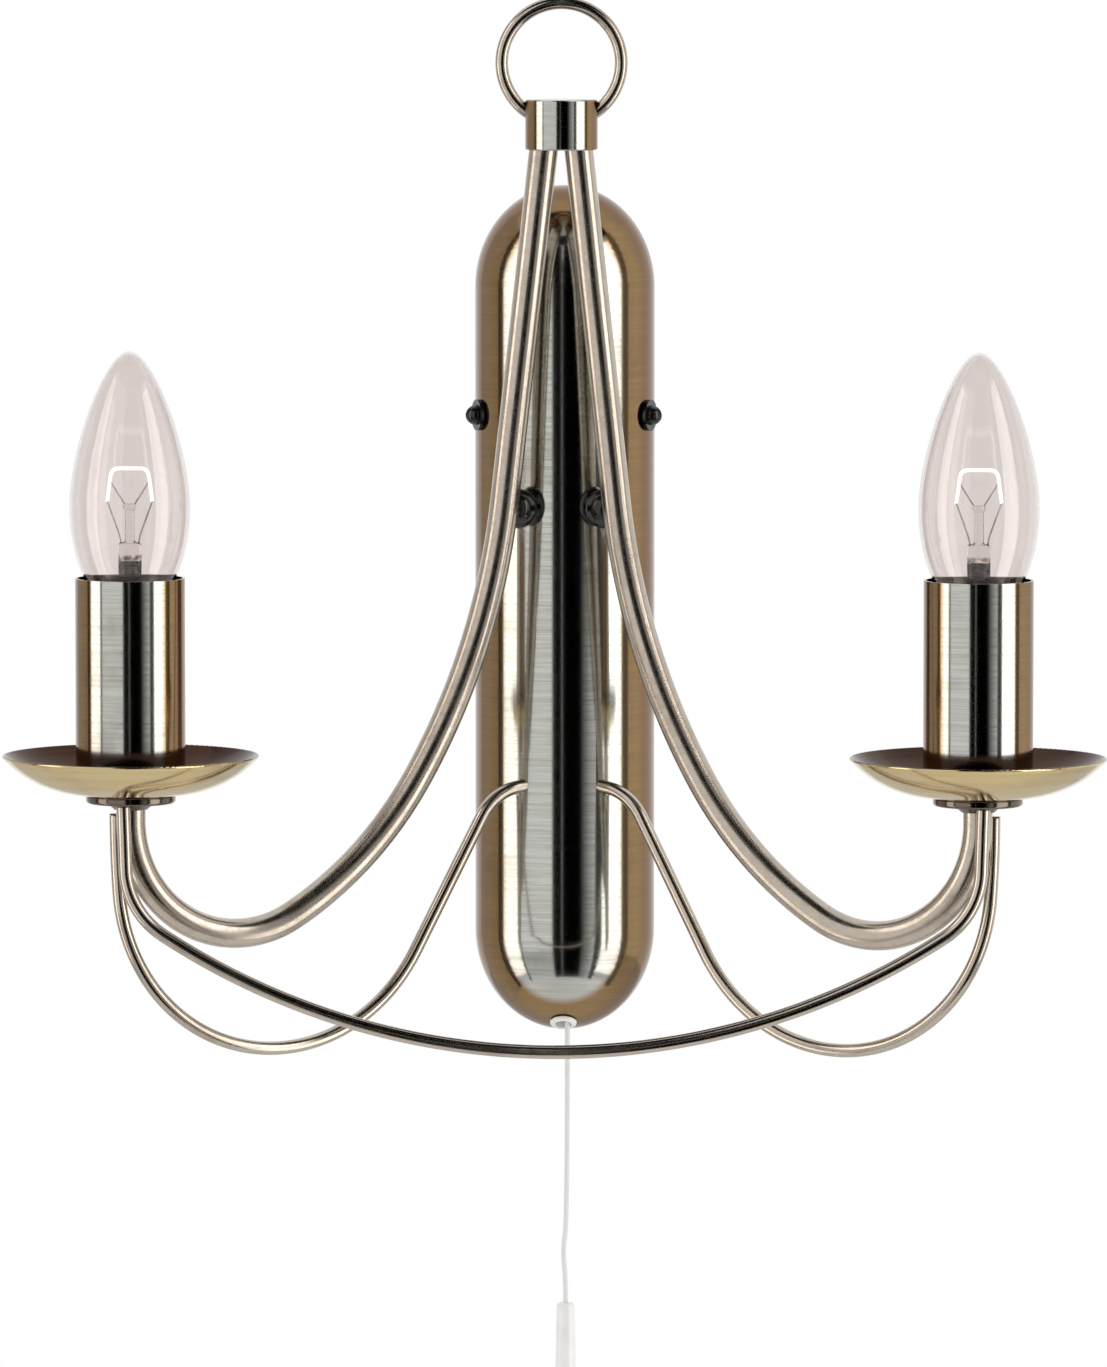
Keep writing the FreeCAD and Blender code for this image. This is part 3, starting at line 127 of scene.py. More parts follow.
class Graph:
    """The node tree of one material or of the world."""

    MIX_FACTOR, MIX_FIRST, MIX_SECOND, MIX_RESULT = 0, 6, 7, 2

    def __init__(self, owner: Union[bpy.types.Material, bpy.types.World]) -> None:
        """Starts on an empty node tree.

        Args:
            owner: the material or world that the tree belongs to.
        """
        owner.use_nodes = True
        self.tree = owner.node_tree
        self.tree.nodes.clear()

    def node(
        self,
        kind: str,
        settings: Mapping[str, object] | None = None,
        inputs: Mapping[Union[str, int], object] | None = None,
    ) -> bpy.types.Node:
        """Adds one node.

        Args:
            kind: the node's type.
            settings: its own settings, set first.
            inputs: a value or a link for each socket, by name or by number.

        Returns:
            The new node.
        """
        made = self.tree.nodes.new(kind)
        for name, value in (settings or {}).items():
            setattr(made, name, value)
        for name, value in (inputs or {}).items():
            if isinstance(value, Value):
                self.tree.links.new(value.socket, made.inputs[name])
            else:
                made.inputs[name].default_value = value
        return made

    def value(self, node: bpy.types.Node, output: Union[str, int] = 0) -> Value:
        """Wraps one of a node's outputs."""
        return Value(self, node.outputs[output])

    def math(self, operation: str, first: Term, second: Term = 0.0) -> Value:
        """Adds a Math node.

        Args:
            operation: what it does.
            first: its first number.
            second: its second number.

        Returns:
            Its result.
        """
        return self.value(self.node("ShaderNodeMath", {"operation": operation}, {0: first, 1: second}))

    def gone(self, value: Value, low: float, high: float) -> Value:
        """Share of the way from low to high that a number has gone, eased at both ends."""
        settings = {"interpolation_type": "SMOOTHSTEP"}
        inputs = {"Value": value, "From Min": low, "From Max": high}
        return self.value(self.node("ShaderNodeMapRange", settings, inputs))

    def between(self, share: Term, first: Union[Value, Colour], second: Union[Value, Colour]) -> Value:
        """Mixes two colours.

        Args:
            share: the second colour's share.
            first: a colour or a link.
            second: a colour or a link.

        Returns:
            The mixed colour.
        """
        ends = [colour if isinstance(colour, Value) else solid(colour) for colour in (first, second)]
        inputs = {self.MIX_FACTOR: share, self.MIX_FIRST: ends[0], self.MIX_SECOND: ends[1]}
        mixed = self.node("ShaderNodeMix", {"data_type": "RGBA", "clamp_factor": True}, inputs)
        return self.value(mixed, self.MIX_RESULT)

    def place(self) -> Value:
        """Object coordinates, which are the model's own metres."""
        return self.value(self.node("ShaderNodeTexCoord"), "Object")

    def split(self, place: Value) -> tuple[Value, Value, Value]:
        """X, Y and Z of a vector."""
        parts = self.node("ShaderNodeSeparateXYZ", None, {0: place})
        return self.value(parts, "X"), self.value(parts, "Y"), self.value(parts, "Z")

    def vector(self, x: Term, y: Term, z: Term) -> Value:
        """Vector of three numbers."""
        return self.value(self.node("ShaderNodeCombineXYZ", None, {0: x, 1: y, 2: z}))

    def length(self, first: Value, second: Value) -> Value:
        """Length of the long side over two numbers at a right angle."""
        return self.math("SQRT", first * first + second * second)

    def noise(self, place: Value, scale: float, detail: float = 2.0, roughness: float = 0.5) -> Value:
        """Soft noise.

        Args:
            place: where it's read.
            scale: patches to a metre.
            detail: octaves.
            roughness: weight of the finer octaves.

        Returns:
            A share that wavers about a half.
        """
        inputs = {"Vector": place, "Scale": scale, "Detail": detail, "Roughness": roughness}
        return self.value(self.node("ShaderNodeTexNoise", None, inputs), "Fac")

    def bump(self, height: Value, depth: float) -> Value:
        """Normal of a surface raised by a share of a depth in metres."""
        return self.value(self.node("ShaderNodeBump", None, {"Height": height, "Distance": depth}), "Normal")

    def finish(self, kind: str, inputs: Mapping[str, object]) -> None:
        """Ends a material with one shader.

        Args:
            kind: the shader's type.
            inputs: a value or a link for each of its sockets.
        """
        shader = self.node(kind, None, inputs)
        self.node("ShaderNodeOutputMaterial", None, {"Surface": self.value(shader)})


def solid(colour: Colour) -> tuple[float, float, float, float]:
    """A colour with full opacity, as shader sockets take it."""
    return (*colour, 1.0)


def principled(name: str, recipe: "Finish") -> bpy.types.Material:
    """Makes a material with a Principled shader.

    Args:
        name: the material's name.
        recipe: the finish, which gives the shader's sockets.

    Returns:
        The new material.
    """
    material = bpy.data.materials.new(name)
    graph = Graph(material)
    graph.finish("ShaderNodeBsdfPrincipled", recipe.sockets(graph))
    return material


# ---------------------------------------------------------------- finishes


class Finish:
    """A way to fill a Principled shader's sockets."""

    def sockets(self, graph: Graph) -> dict[str, object]:
        """Values and links of the shader's sockets."""
        raise NotImplementedError


class Grain(Enum):
    """Way that a metal's fine scratches run."""

    LEVEL = "level, round an upright axis"
    SPUN = "in rings about an upright axis"
    SOFT = "every way"


@dataclass(frozen=True)
class BrassWithPaintedLightAndShade(Finish):
    """Antique brass, brown in its scratches, pale in front and gold to brown on its flanks, which is painted
    reflection.

    The flanks are told by the way across over the distance from the upright axis: 0 in front, 1 at the side.
    Past the start of a domed end, the way along the dome counts as the way across does. A dome is the height
    of its start, and its half width over its length. A hollow is the inner face of a dish, which takes
    painted
    shade in dark brown: the radius of its flat, the height of its curve's middle and the curve's radius.
    """

    EDGE: ClassVar[Pair] = (0.8, 0.97)
    SCRATCHES: ClassVar[Pair] = (0.62, 0.36)
    CLOUDS: ClassVar[Pair] = (0.5, 0.78)
    CLOUD_SCALE: ClassVar[float] = 42.0
    BROAD_ROWS: ClassVar[float] = 1 / 8
    SOFT_STRETCH: ClassVar[float] = 0.1
    HOLLOW_BLUR: ClassVar[float] = 2e-4

    front: Colour = PALE
    grain: Grain = Grain.SOFT
    axis: Pair = (0.0, 0.0)
    flanks: Pair | None = None
    dome: Pair | None = None
    hollow: tuple[float, float, float] | None = None
    roughness: float = 0.1
    scratch_share: float = 0.3
    cloud_share: float = 0.35
    scratch_depth: float = 2.5e-6
    rows: float = 4200.0
    stretch: float = 0.012

    def _grain_place(self, graph: Graph, across: Value, depth: Value, up: Value) -> Value:
        """Coordinates in which the noise becomes scratches that run as the grain says."""
        long = self.stretch
        if self.grain is Grain.LEVEL:
            return graph.vector(across * long, depth * long, up)
        if self.grain is Grain.SPUN:
            return graph.vector(graph.length(across, depth), across * long, depth * long)
        soft = self.SOFT_STRETCH
        return graph.vector(across * soft, depth * soft, up * soft)

    def _colour(self, graph: Graph, across: Value, depth: Value, up: Value) -> Union[Value, Colour]:
        """Metal's colour before its scratches: painted reflection, pale in front, gold on the flanks and
        brown at the edge, and painted shade, dark brown in a dish's hollow.
        """
        colour: Union[Value, Colour] = self.front
        reach = graph.length(across, depth)
        # Painted reflection: pale in front, turning gold and then brown towards the side, by which way the
        # surface faces.
        if self.flanks:
            aside = abs(across)
            if self.dome:
                start, squeeze = self.dome
                past_start = graph.math("MAXIMUM", abs(up) - start, 0.0)
                aside = graph.length(aside, past_start * squeeze)
            side = aside / (graph.length(aside, depth) + TINY)
            colour = graph.between(graph.gone(side, *self.flanks), colour, GOLD)
            colour = graph.between(graph.gone(side, *self.EDGE), colour, BROWN)
        # Painted shade: the inner face of a dish turns dark brown.
        if self.hollow:
            start, height, radius = self.hollow
            past = graph.math("MAXIMUM", reach - start, 0.0)
            inside = graph.gone(graph.length(past, up - height), radius, radius - self.HOLLOW_BLUR)
            colour = graph.between(inside, colour, UMBER)
        return colour

    def sockets(self, graph: Graph) -> dict[str, object]:
        """Brushed metal with patina in its scratches and in soft clouds."""
        place = graph.place()
        x, y, up = graph.split(place)
        across, depth = x - self.axis[0], y - self.axis[1]
        grain = self._grain_place(graph, across, depth, up)
        fine = graph.noise(grain, self.rows, 3.0, 0.7)
        broad = graph.noise(grain, self.rows * self.BROAD_ROWS, 2.0, 0.6)
        cloud = graph.noise(place, self.CLOUD_SCALE, 4.0, 0.6)
        scratch = graph.gone(0.6 * fine + 0.4 * broad, *self.SCRATCHES)
        clouded = graph.gone(cloud, *self.CLOUDS) * self.cloud_share
        colour = graph.between(clouded, self._colour(graph, across, depth, up), PATINA)
        return {
            "Base Color": graph.between(scratch * self.scratch_share, colour, PATINA),
            "Metallic": 1.0,
            "Roughness": self.roughness * (0.75 + 0.5 * cloud + 0.4 * scratch),
            "Normal": graph.bump(fine, self.scratch_depth),
        }


@dataclass(frozen=True)
class Plain(Finish):
    """Plain metal, plastic or rubber with a fine texture, faint clouds and an uneven gloss."""

    CLOUDS: ClassVar[Pair] = (0.35, 0.75)
    CLOUD_SCALE: ClassVar[float] = 160.0
    COAT_ROUGHNESS: ClassVar[float] = 0.05

    colour: Colour
    worn: Colour
    metallic: float = 0.0
    roughness: float = 0.35
    coat: float = 0.0
    grain_rows: float = 2600.0
    grain_depth: float = 3e-6

    def sockets(self, graph: Graph) -> dict[str, object]:
        """Two close colours in clouds, under a fine bump."""
        place = graph.place()
        cloud = graph.noise(place, self.CLOUD_SCALE, 4.0, 0.6)
        return {
            "Base Color": graph.between(graph.gone(cloud, *self.CLOUDS), self.colour, self.worn),
            "Metallic": self.metallic,
            "Roughness": self.roughness * (0.8 + 0.4 * cloud),
            "Coat Weight": self.coat,
            "Coat Roughness": self.COAT_ROUGHNESS,
            "Normal": graph.bump(graph.noise(place, self.grain_rows), self.grain_depth),
        }


@dataclass(frozen=True)
class Glass(Finish):
    """Clear glass with a faint ripple, and a darker band, in patches, where it was pressed, if it has one.

    A band is the height of its middle and its reach to either side.
    """

    REFRACTION: ClassVar[float] = 1.5
    PATCHES: ClassVar[Pair] = (0.4, 0.6)
    PATCH_SCALE: ClassVar[float] = 500.0
    RIPPLE_SCALE: ClassVar[float] = 90.0
    BAND_CORE: ClassVar[float] = 0.3

    tint: Colour
    pressed: Pair | None = None
    ripple: float = 2e-6

    def sockets(self, graph: Graph) -> dict[str, object]:
        """Smooth refracting glass."""
        place = graph.place()
        colour: object = solid(self.tint)
        if self.pressed:
            height, reach = self.pressed
            _, _, up = graph.split(place)
            band = 1 - graph.gone(abs(up - height), self.BAND_CORE * reach, reach)
            patch = graph.gone(graph.noise(place, self.PATCH_SCALE), *self.PATCHES)
            colour = graph.between(band * patch, self.tint, PATINA)
        return {
            "Base Color": colour,
            "Roughness": 0.0,
            "IOR": self.REFRACTION,
            "Transmission Weight": 1.0,
            "Normal": graph.bump(graph.noise(place, self.RIPPLE_SCALE, 1.0, 0.4), self.ripple),
        }


@dataclass(frozen=True)
class PaintedGlow(Finish):
    """Painted glow: filament wire that emits an even light so that it reads as white."""

    PATCH_SCALE: ClassVar[float] = 900.0

    colour: Colour
    cooler: Colour
    strength: float

    def sockets(self, graph: Graph) -> dict[str, object]:
        """Metal with an even painted glow that's a little cooler in patches."""
        patch = graph.noise(graph.place(), self.PATCH_SCALE)
        return {
            "Base Color": solid(PEWTER),
            "Metallic": 1.0,
            "Roughness": 0.35,
            "Emission Color": graph.between(patch, self.colour, self.cooler),
            "Emission Strength": self.strength,
        }


@dataclass(frozen=True)
class Braid(Finish):
    """White braided cord: two crossed sets of slanting strands, with painted shade between them."""

    colour: Colour
    painted_valley_shade: Colour
    strand: float = 0.0007
    relief: float = 6e-5

    def sockets(self, graph: Graph) -> dict[str, object]:
        """Weave from the larger of two slanting waves, |sin| of height plus and minus the way across; its
        valleys take painted shade.
        """
        across, _, up = graph.split(graph.place())
        rate = 2 * math.pi / self.strand
        slants = [abs(graph.math("SINE", (up + hand * across) * rate)) for hand in (1.0, -1.0)]
        weave = graph.math("MAXIMUM", *slants)
        return {
            # Painted shade: the valleys between the strands are grey.
            "Base Color": graph.between(weave, self.painted_valley_shade, self.colour),
            "Roughness": 0.75,
            "Normal": graph.bump(weave, self.relief),
        }


# ---------------------------------------------------------------- meshes


def piece(name: str, surface: Surface, material: bpy.types.Material) -> bpy.types.Object:
    """Makes a smooth mesh object at the origin, with its doubled points merged and its faces outwards.

    Args:
        name: the piece's name.
        surface: its points, one row each, and the corners of its four-sided faces, one row each.
        material: its finish.

    Returns:
        The new object.
    """
    vertices, faces = surface
    corners = vertices[faces]
    fans = (corners[:, [0, 1, 2]], corners[:, [0, 2, 3]])
    volume = sum(np.einsum("ij,ij->i", fan[:, 0], np.cross(fan[:, 1], fan[:, 2])).sum() for fan in fans)
    mesh = bpy.data.meshes.new(name)
    mesh.from_pydata(vertices, [], faces if volume > 0 else faces[:, ::-1])
    work = bmesh.new()
    work.from_mesh(mesh)
    bmesh.ops.remove_doubles(work, verts=work.verts, dist=1e-6)
    work.to_mesh(mesh)
    work.free()
    mesh.polygons.foreach_set("use_smooth", np.ones(len(mesh.polygons), bool))
    mesh.materials.append(material)
    made = bpy.data.objects.new(name, mesh)
    bpy.context.scene.collection.objects.link(made)
    LOG.info("made %s, %d faces", name, len(mesh.polygons))
    return made


def ring_faces(rows: int, columns: int) -> np.ndarray:
    """Four-sided faces of a grid of points whose rows close into rings.

    Args:
        rows: rows of points.
        columns: points in a row.

    Returns:
        Point numbers, one face a row: each point, the next in its row, and the two below them.
    """
    row, column = np.meshgrid(np.arange(rows - 1), np.arange(columns), indexing="ij")
    first, beside = row * columns, (column + 1) % columns
    faces = [first + column, first + beside, first + columns + beside, first + columns + column]
    return np.stack(faces, axis=-1).reshape(-1, 4)


def bezier(poles: Sequence[Pair], steps: int) -> np.ndarray:
    """Points of a cubic curve: each pole weighed by its share (1-t)^(3-k) t^k C(3,k) at even steps of t.

    Args:
        poles: its four poles.
        steps: how many points.

    Returns:
        The points, one row each.
    """
    t = np.linspace(0.0, 1.0, steps)[:, None]
    weights = np.hstack([(1 - t) ** 3, 3 * t * (1 - t) ** 2, 3 * t**2 * (1 - t), t**3])
    return weights @ np.array(poles)


def softened(corners: Sequence[Sequence[float]], steps: int, window: int) -> np.ndarray:
    """Even points along straight runs, each the mean of a few neighbours, which rounds the corners.

    Args:
        corners: the runs' ends, one row each.
        steps: how many points.
        window: how many neighbours, an odd number.

    Returns:
        The points, one row each. The two ends stay where they are.
    """
    rows = np.array(corners, float)
    lengths = np.concatenate([[0.0], np.cumsum(np.linalg.norm(np.diff(rows, axis=0), axis=1))])
    even = np.linspace(0.0, lengths[-1], steps)
    points = np.stack([np.interp(even, lengths, column) for column in rows.T], axis=-1)
    side = window // 2
    before, after = 2 * points[:1] - points[side:0:-1], 2 * points[-1:] - points[-2 : -side - 2 : -1]
    padded = np.vstack([before, points, after])
    kernel = np.full(window, 1 / window)
    return np.stack([np.convolve(column, kernel, "valid") for column in padded.T], axis=-1)


def revolved(outline: np.ndarray, axis: Pair, steps: int) -> Surface:
    """Surface of revolution about an upright axis: (radius cos a, radius sin a, height) over even angles a.

    Args:
        outline: rows of radius and height.
        axis: the axis's x and y.
        steps: points in a turn.

    Returns:
        Vertices and faces.
    """
    angle = np.linspace(0.0, 2 * np.pi, steps, endpoint=False)
    radius, height = outline[:, :1], outline[:, 1:]
    x = axis[0] + radius * np.cos(angle)
    y = axis[1] + radius * np.sin(angle)
    points = np.stack([x, y, np.broadcast_to(height, x.shape)], axis=-1)
    return points.reshape(-1, 3), ring_faces(len(outline), steps)


def swept(path: np.ndarray, radius: float, sides: int, beside: np.ndarray) -> Surface:
    """Round tube along a path, closed at its ends: path + radius (cos a, sin a) in each point's cross plane.

    Args:
        path: points of the centre line.
        radius: the tube's radius.
        sides: points round the tube.
        beside: a direction, or one for each point, that is never along the path.

    Returns:
        Vertices and faces.
    """
    along = np.gradient(path, axis=0)
    along /= np.linalg.norm(along, axis=1, keepdims=True)
    first = np.cross(along, beside)
    first /= np.linalg.norm(first, axis=1, keepdims=True)
    second = np.cross(along, first)
    rows = np.concatenate([[0], np.arange(len(path)), [len(path) - 1]])
    size = np.concatenate([[0.0], np.full(len(path), radius), [0.0]])[:, None, None]
    angle = np.linspace(0.0, 2 * np.pi, sides, endpoint=False)[None, :, None]
    ring = np.cos(angle) * first[rows, None] + np.sin(angle) * second[rows, None]
    return (path[rows, None] + size * ring).reshape(-1, 3), ring_faces(len(rows), sides)


def bent(start_mm: Sequence[float], swing: float, runs: Sequence[Pair], steps: int = 240) -> np.ndarray:
    """Centre line in an upright plane, whose heading h turns evenly along each run.

    After a length s it is at start + integral of (sin h, -cos h) ds. A heading is 0 straight down, 90
    outwards and 180 straight up.

    Args:
        start_mm: its first point.
        swing: degrees from +X towards -Y that the plane's outward direction turns.
        runs: length in millimetres and the heading at the end of each run. The first has no length.
        steps: how many points.

    Returns:
        The points in metres, one row each.
    """
    lengths, headings = np.array(runs, float).T
    reached = np.cumsum(lengths)
    even = np.linspace(0.0, reached[-1], steps)
    heading = np.radians(np.interp(even, reached, headings))
    way = np.stack([np.sin(heading), -np.cos(heading)], axis=-1)
    moved = np.vstack([[0.0, 0.0], np.cumsum((way[1:] + way[:-1]) / 2, axis=0) * even[1]])
    outward = np.array([math.cos(math.radians(swing)), -math.sin(math.radians(swing)), 0.0])
    return (np.array(start_mm) + moved[:, :1] * outward + moved[:, 1:] * [0.0, 0.0, 1.0]) * MM


def joined(surfaces: Iterable[Surface]) -> Surface:
    """Several surfaces as one."""
    vertices, faces, count = [], [], 0
    for points, corners in surfaces:
        vertices.append(points)
        faces.append(corners + count)
        count += len(points)
    return np.vstack(vertices), np.vstack(faces)


def centre_of(node: str) -> Pair:
    """Middle of a node's box, seen from above."""
    low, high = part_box(node)
    return (low.x + high.x) / 2, (low.y + high.y) / 2


# ---------------------------------------------------------------- sub-assemblies


@dataclass
class Wirework:
    """Bent arms and wires: two arms, a brace from the cover to each arm's end, and the tie rod in front.

    They stand for the model's arms, braces and tie rod, on lines that follow the photograph more closely.
    """

    BESIDE: ClassVar[np.ndarray] = np.array([0.5, 0.85, 0.1])
    WIRE_SIDES: ClassVar[int] = 32
    ARM_SIDES: ClassVar[int] = 48
    ARM_STEPS: ClassVar[int] = 320

    wire_radius: float = 0.002
    arm_radius: float = 0.0043
    arm_start_mm: tuple[float, float, float] = (4.49, -32.39, 144.95)
    arm_swing: float = 28.0
    arm_runs: tuple[Pair, ...] = (
        (0.0, 7.2),
        (111.3, 7.2),
        (87.0, 32.1),
        (56.6, 60.2),
        (72.9, 180.0),
        (5.0, 180.0),
    )
    brace_start_mm: tuple[float, float, float] = (6.51, -20.43, -50.44)
    brace_swing: float = 30.27
    brace_runs: tuple[Pair, ...] = (
        (0.0, 81.4),
        (7.9, 81.4),
        (15.2, 29.8),
        (45.2, 29.8),
        (132.9, 175.6),
        (23.8, 180.0),
    )
    tie_middle_mm: tuple[float, float, float] = (0.0, -104.13, -121.5)
    tie_runs: tuple[Pair, ...] = ((0.0, 90.0), (120.2, 123.2), (22.9, 178.2), (18.6, 178.2))

    @staticmethod
    def _bar(name: str, surface: Surface, slot: str, node: str, material: bpy.types.Material) -> None:
        """Round bar that stands for one of the model's nodes.

        Args:
            name: the piece's name.
            surface: its points and faces.
            slot: a material slot's name, which is not used.
            node: the node that it stands for.
            material: its finish.
        """
        made = piece(name, surface, material)
        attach(made, "root")
        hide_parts(node)

    def arms(self, material: bpy.types.Material) -> None:
        """Left and right arm from the collar, drawn evenly along its length to the middle of its seat."""
        path = bent(self.arm_start_mm, self.arm_swing, self.arm_runs, self.ARM_STEPS)
        seat = np.array([*centre_of("pan_seat_right"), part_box("pan_seat_right")[0].z])
        path += (seat - path[-1]) * np.linspace(0.0, 1.0, len(path))[:, None]
        for side, hand in zip(SIDES, HANDS):
            surface = swept(path * [hand, 1.0, 1.0], self.arm_radius, self.ARM_SIDES, self.BESIDE)
            self._bar(f"arm_tube_{side}", surface, "arm_brass", f"arm_{side}", material)

    def braces(self, material: bpy.types.Material) -> None:
        """Left and right brace, mirrored."""
        path = bent(self.brace_start_mm, self.brace_swing, self.brace_runs)
        for side, hand in zip(SIDES, HANDS):
            surface = swept(path * [hand, 1.0, 1.0], self.wire_radius, self.WIRE_SIDES, self.BESIDE)
            self._bar(f"brace_wire_{side}", surface, "wire_brass", f"brace_{side}", material)

    def tie(self, material: bpy.types.Material) -> None:
        """Tie rod: one half, and its mirror image."""
        half = bent(self.tie_middle_mm, 0.0, self.tie_runs)
        path = np.vstack([half[:0:-1] * [-1.0, 1.0, 1.0], half])
        surface = swept(path, self.wire_radius, self.WIRE_SIDES, self.BESIDE)
        self._bar("tie_wire", surface, "wire_brass", "tie_rod", material)


@dataclass
class Lamp:
    """Clear candle lamp: glass, screw cap, glass mount, wires and filament, about the axis of its light.

    Outlines and paths in millimetres are measured from the lamp's axis and from the foot of its glass. The
    cap's foot is measured from the cap's own low end.
    """

    GLASS_STEPS: ClassVar[int] = 96
    CAP_ROWS: ClassVar[int] = 66
    CAP_STEPS: ClassVar[int] = 64
    TURN_STEPS: ClassVar[int] = 14
    LEVEL: ClassVar[np.ndarray] = np.array([0.0, 1.0, 0.0])

    side: str
    wall: float = 0.0007
    tip_blunt: float = 0.007
    widest_down: float = 0.0455
    flank_pull: float = 0.0172
    belly_pull: float = 0.022
    neck_pull: float = 0.004
    neck_radius: float = 0.0062
    neck_down: float = 0.079
    thread_pitch: float = 0.0028
    thread_depth: float = 0.0007
    thread_fade: float = 0.0015
    shell_above_foot: float = 0.0034
    cap_wall: float = MM / 3
    cap_foot_mm: tuple[Pair, ...] = ((0.0, 0.0), (1.6, 0.0), (2.3, 0.4), (2.3, 1.0), (4.6, 1.6), (6.0, 3.0))
    mount_outline_mm: tuple[Pair, ...] = (
        (0.0, 0.0),
        (5.45, 0.0),
        (5.3, 0.7),
        (3.9, 4.0),
        (3.4, 7.0),
        (3.4, 25.3),
        (3.0, 25.6),
        (1.5, 26.0),
        (1.4, 35.2),
        (2.0, 35.6),
        (2.0, 36.8),
        (1.7, 37.0),
        (0.0, 37.0),
    )
    pinch_mm: tuple[float, float, float] = (16.0, 20.9, 25.6)
    pinch_depth: float = 0.44
    lead_mm: tuple[tuple[float, float, float], ...] = ((2.6, 0.0, 25.5), (2.9, 0.0, 27.6), (6.6, 0.0, 37.8))
    support_mm: tuple[tuple[float, float, float], ...] = ((1.4, 0.0, 36.8), (5.7, 0.0, 43.4))
    filament_mm: tuple[tuple[float, float, float], ...] = (
        (-6.6, 0.0, 37.6),
        (-5.3, 0.0, 47.2),
        (5.3, 0.0, 47.2),
        (6.6, 0.0, 37.6),
    )
    wire_radius: float = 0.00025
    coil_radius: float = 0.00045
    coil_wire: float = 0.00014
    coil_turns: int = 64

    def __post_init__(self) -> None:
        """Reads the lamp's place from the model."""
        low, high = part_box(f"lamp_glass_{self.side}")
        self.axis = centre_of(f"lamp_glass_{self.side}")
        self.tip, self.foot = high.z, low.z
        self.radius = (high.x - low.x) / 2
        self.neck = self.tip - self.neck_down
        self.origin = np.array([*self.axis, self.foot])

    def _dress(self, made: bpy.types.Object, node: str | None = None) -> None:
        """Puts a piece on the lamp's body.

        Args:
            made: the piece.
            node: the model's node that it stands for, without its side.
        """
        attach(made, f"lamp_{self.side}")
        if node:
            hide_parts(f"{node}_{self.side}")

    def _outline(self, inset: float) -> np.ndarray:
        """Glass from its tip down to its foot, drawn in by an inset: two cubic curves and a neck."""
        tip, widest, wide = self.tip - inset, self.tip - self.widest_down, self.radius - inset
        narrow = self.neck_radius - inset
        flank = [(0.0, tip), (self.tip_blunt, tip), (wide, widest + self.flank_pull), (wide, widest)]
        belly = [(wide, widest), (wide, widest - self.belly_pull)]
        belly += [(narrow, self.neck + self.neck_pull), (narrow, self.neck)]
        return np.vstack([bezier(flank, 48), bezier(belly, 40)[1:], [(narrow, self.foot)]])

    def glass(self, material: bpy.types.Material) -> None:
        """Blown glass with an outer and an inner wall that meet at the neck's foot."""
        outline = np.vstack([self._outline(0.0), self._outline(self.wall)[::-1]])
        made = piece(f"bulb_glass_{self.side}", revolved(outline, self.axis, self.GLASS_STEPS), material)
        self._dress(made, "lamp_glass")

    def cap(self, material: bpy.types.Material) -> None:
        """Screw cap with a rolled thread: radius = outer - depth (0.5 - 0.5 cos(angle - turn)), faded."""
        low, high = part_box(f"lamp_cap_{self.side}")
        radius, shell_low, top = (high.x - low.x) / 2, low.z + self.shell_above_foot, high.z
        steps = self.CAP_STEPS
        height = np.linspace(shell_low, top, self.CAP_ROWS)[:, None]
        angle = np.linspace(0.0, 2 * np.pi, steps, endpoint=False)[None, :]
        fade = np.clip((top - height) / self.thread_fade - 1, 0, 1)
        fade = fade * np.clip((height - shell_low) / self.thread_fade, 0, 1)
        groove = 0.5 - 0.5 * np.cos(angle - 2 * np.pi * height / self.thread_pitch)
        reach = radius - self.thread_depth * groove * fade
        shell = np.stack([reach * np.cos(angle), reach * np.sin(angle), height + 0 * reach], axis=-1)
        shell += [*self.axis, 0.0]
        below = revolved(np.array(self.cap_foot_mm) * MM + [0.0, low.z], self.axis, steps)[0]
        lip = radius - self.cap_wall
        inner = radius - self.thread_depth - self.cap_wall
        inside = [(lip, top), (inner, top - MM), (inner, shell_low), (0.0, shell_low + MM / 2)]
        above = revolved(np.array(inside), self.axis, steps)[0]
        rings = np.vstack([below, shell.reshape(-1, 3), above])
        surface = rings, ring_faces(len(rings) // steps, steps)
        made = piece(f"screw_cap_{self.side}", surface, material)
        self._dress(made, "lamp_cap")

    def mount(self, material: bpy.types.Material) -> None:
        """Glass mount: a flared tube pinched flat at its top, and a rod with a button.

        The pinch narrows the depth by a share that eases in over its shoulder and out above its top.
        """
        outline = softened(self.mount_outline_mm, 220, 5) * MM
        points, faces = revolved(outline, (0.0, 0.0), 40)
        shoulder, low, top = (height * MM for height in self.pinch_mm)
        flat = np.interp(points[:, 2], [shoulder, low, top, top + MM / 2], [0.0, 1.0, 1.0, 0.0])
        eased = flat * flat * (3 - 2 * flat)
        points[:, 1] *= 1 - (1 - self.pinch_depth) * eased
        made = piece(f"glass_mount_{self.side}", (points + self.origin, faces), material)
        self._dress(made, "lamp_mount")

    def wires(self, material: bpy.types.Material) -> None:
        """Two lead-in wires from the pinch and two supports from the button, one of each on either hand."""
        runs = []
        for hand in HANDS:
            for path in (self.lead_mm, self.support_mm):
                points = softened(np.array(path) * [hand, 1.0, 1.0], 24, 5) * MM + self.origin
                runs.append(swept(points, self.wire_radius, 8, self.LEVEL))
        made = piece(f"lead_wires_{self.side}", joined(runs), material)
        self._dress(made)

    def filament(self, material: bpy.types.Material) -> None:
        """Coiled filament: a helix, line + radius (cos turn, sin turn) in its cross plane, about an arch."""
        steps = self.coil_turns * self.TURN_STEPS
        line = softened(self.filament_mm, steps, 2 * self.coil_turns + 1) * MM + self.origin
        along = np.gradient(line, axis=0)
        along /= np.linalg.norm(along, axis=1, keepdims=True)
        turn = np.linspace(0.0, 2 * np.pi * self.coil_turns, steps)[:, None]
        outwards = np.cos(turn) * self.LEVEL + np.sin(turn) * np.cross(along, self.LEVEL)
        coil = swept(line + self.coil_radius * outwards, self.coil_wire, 6, outwards)
        made = piece(f"filament_coil_{self.side}", coil, material)
        self._dress(made, "filament")


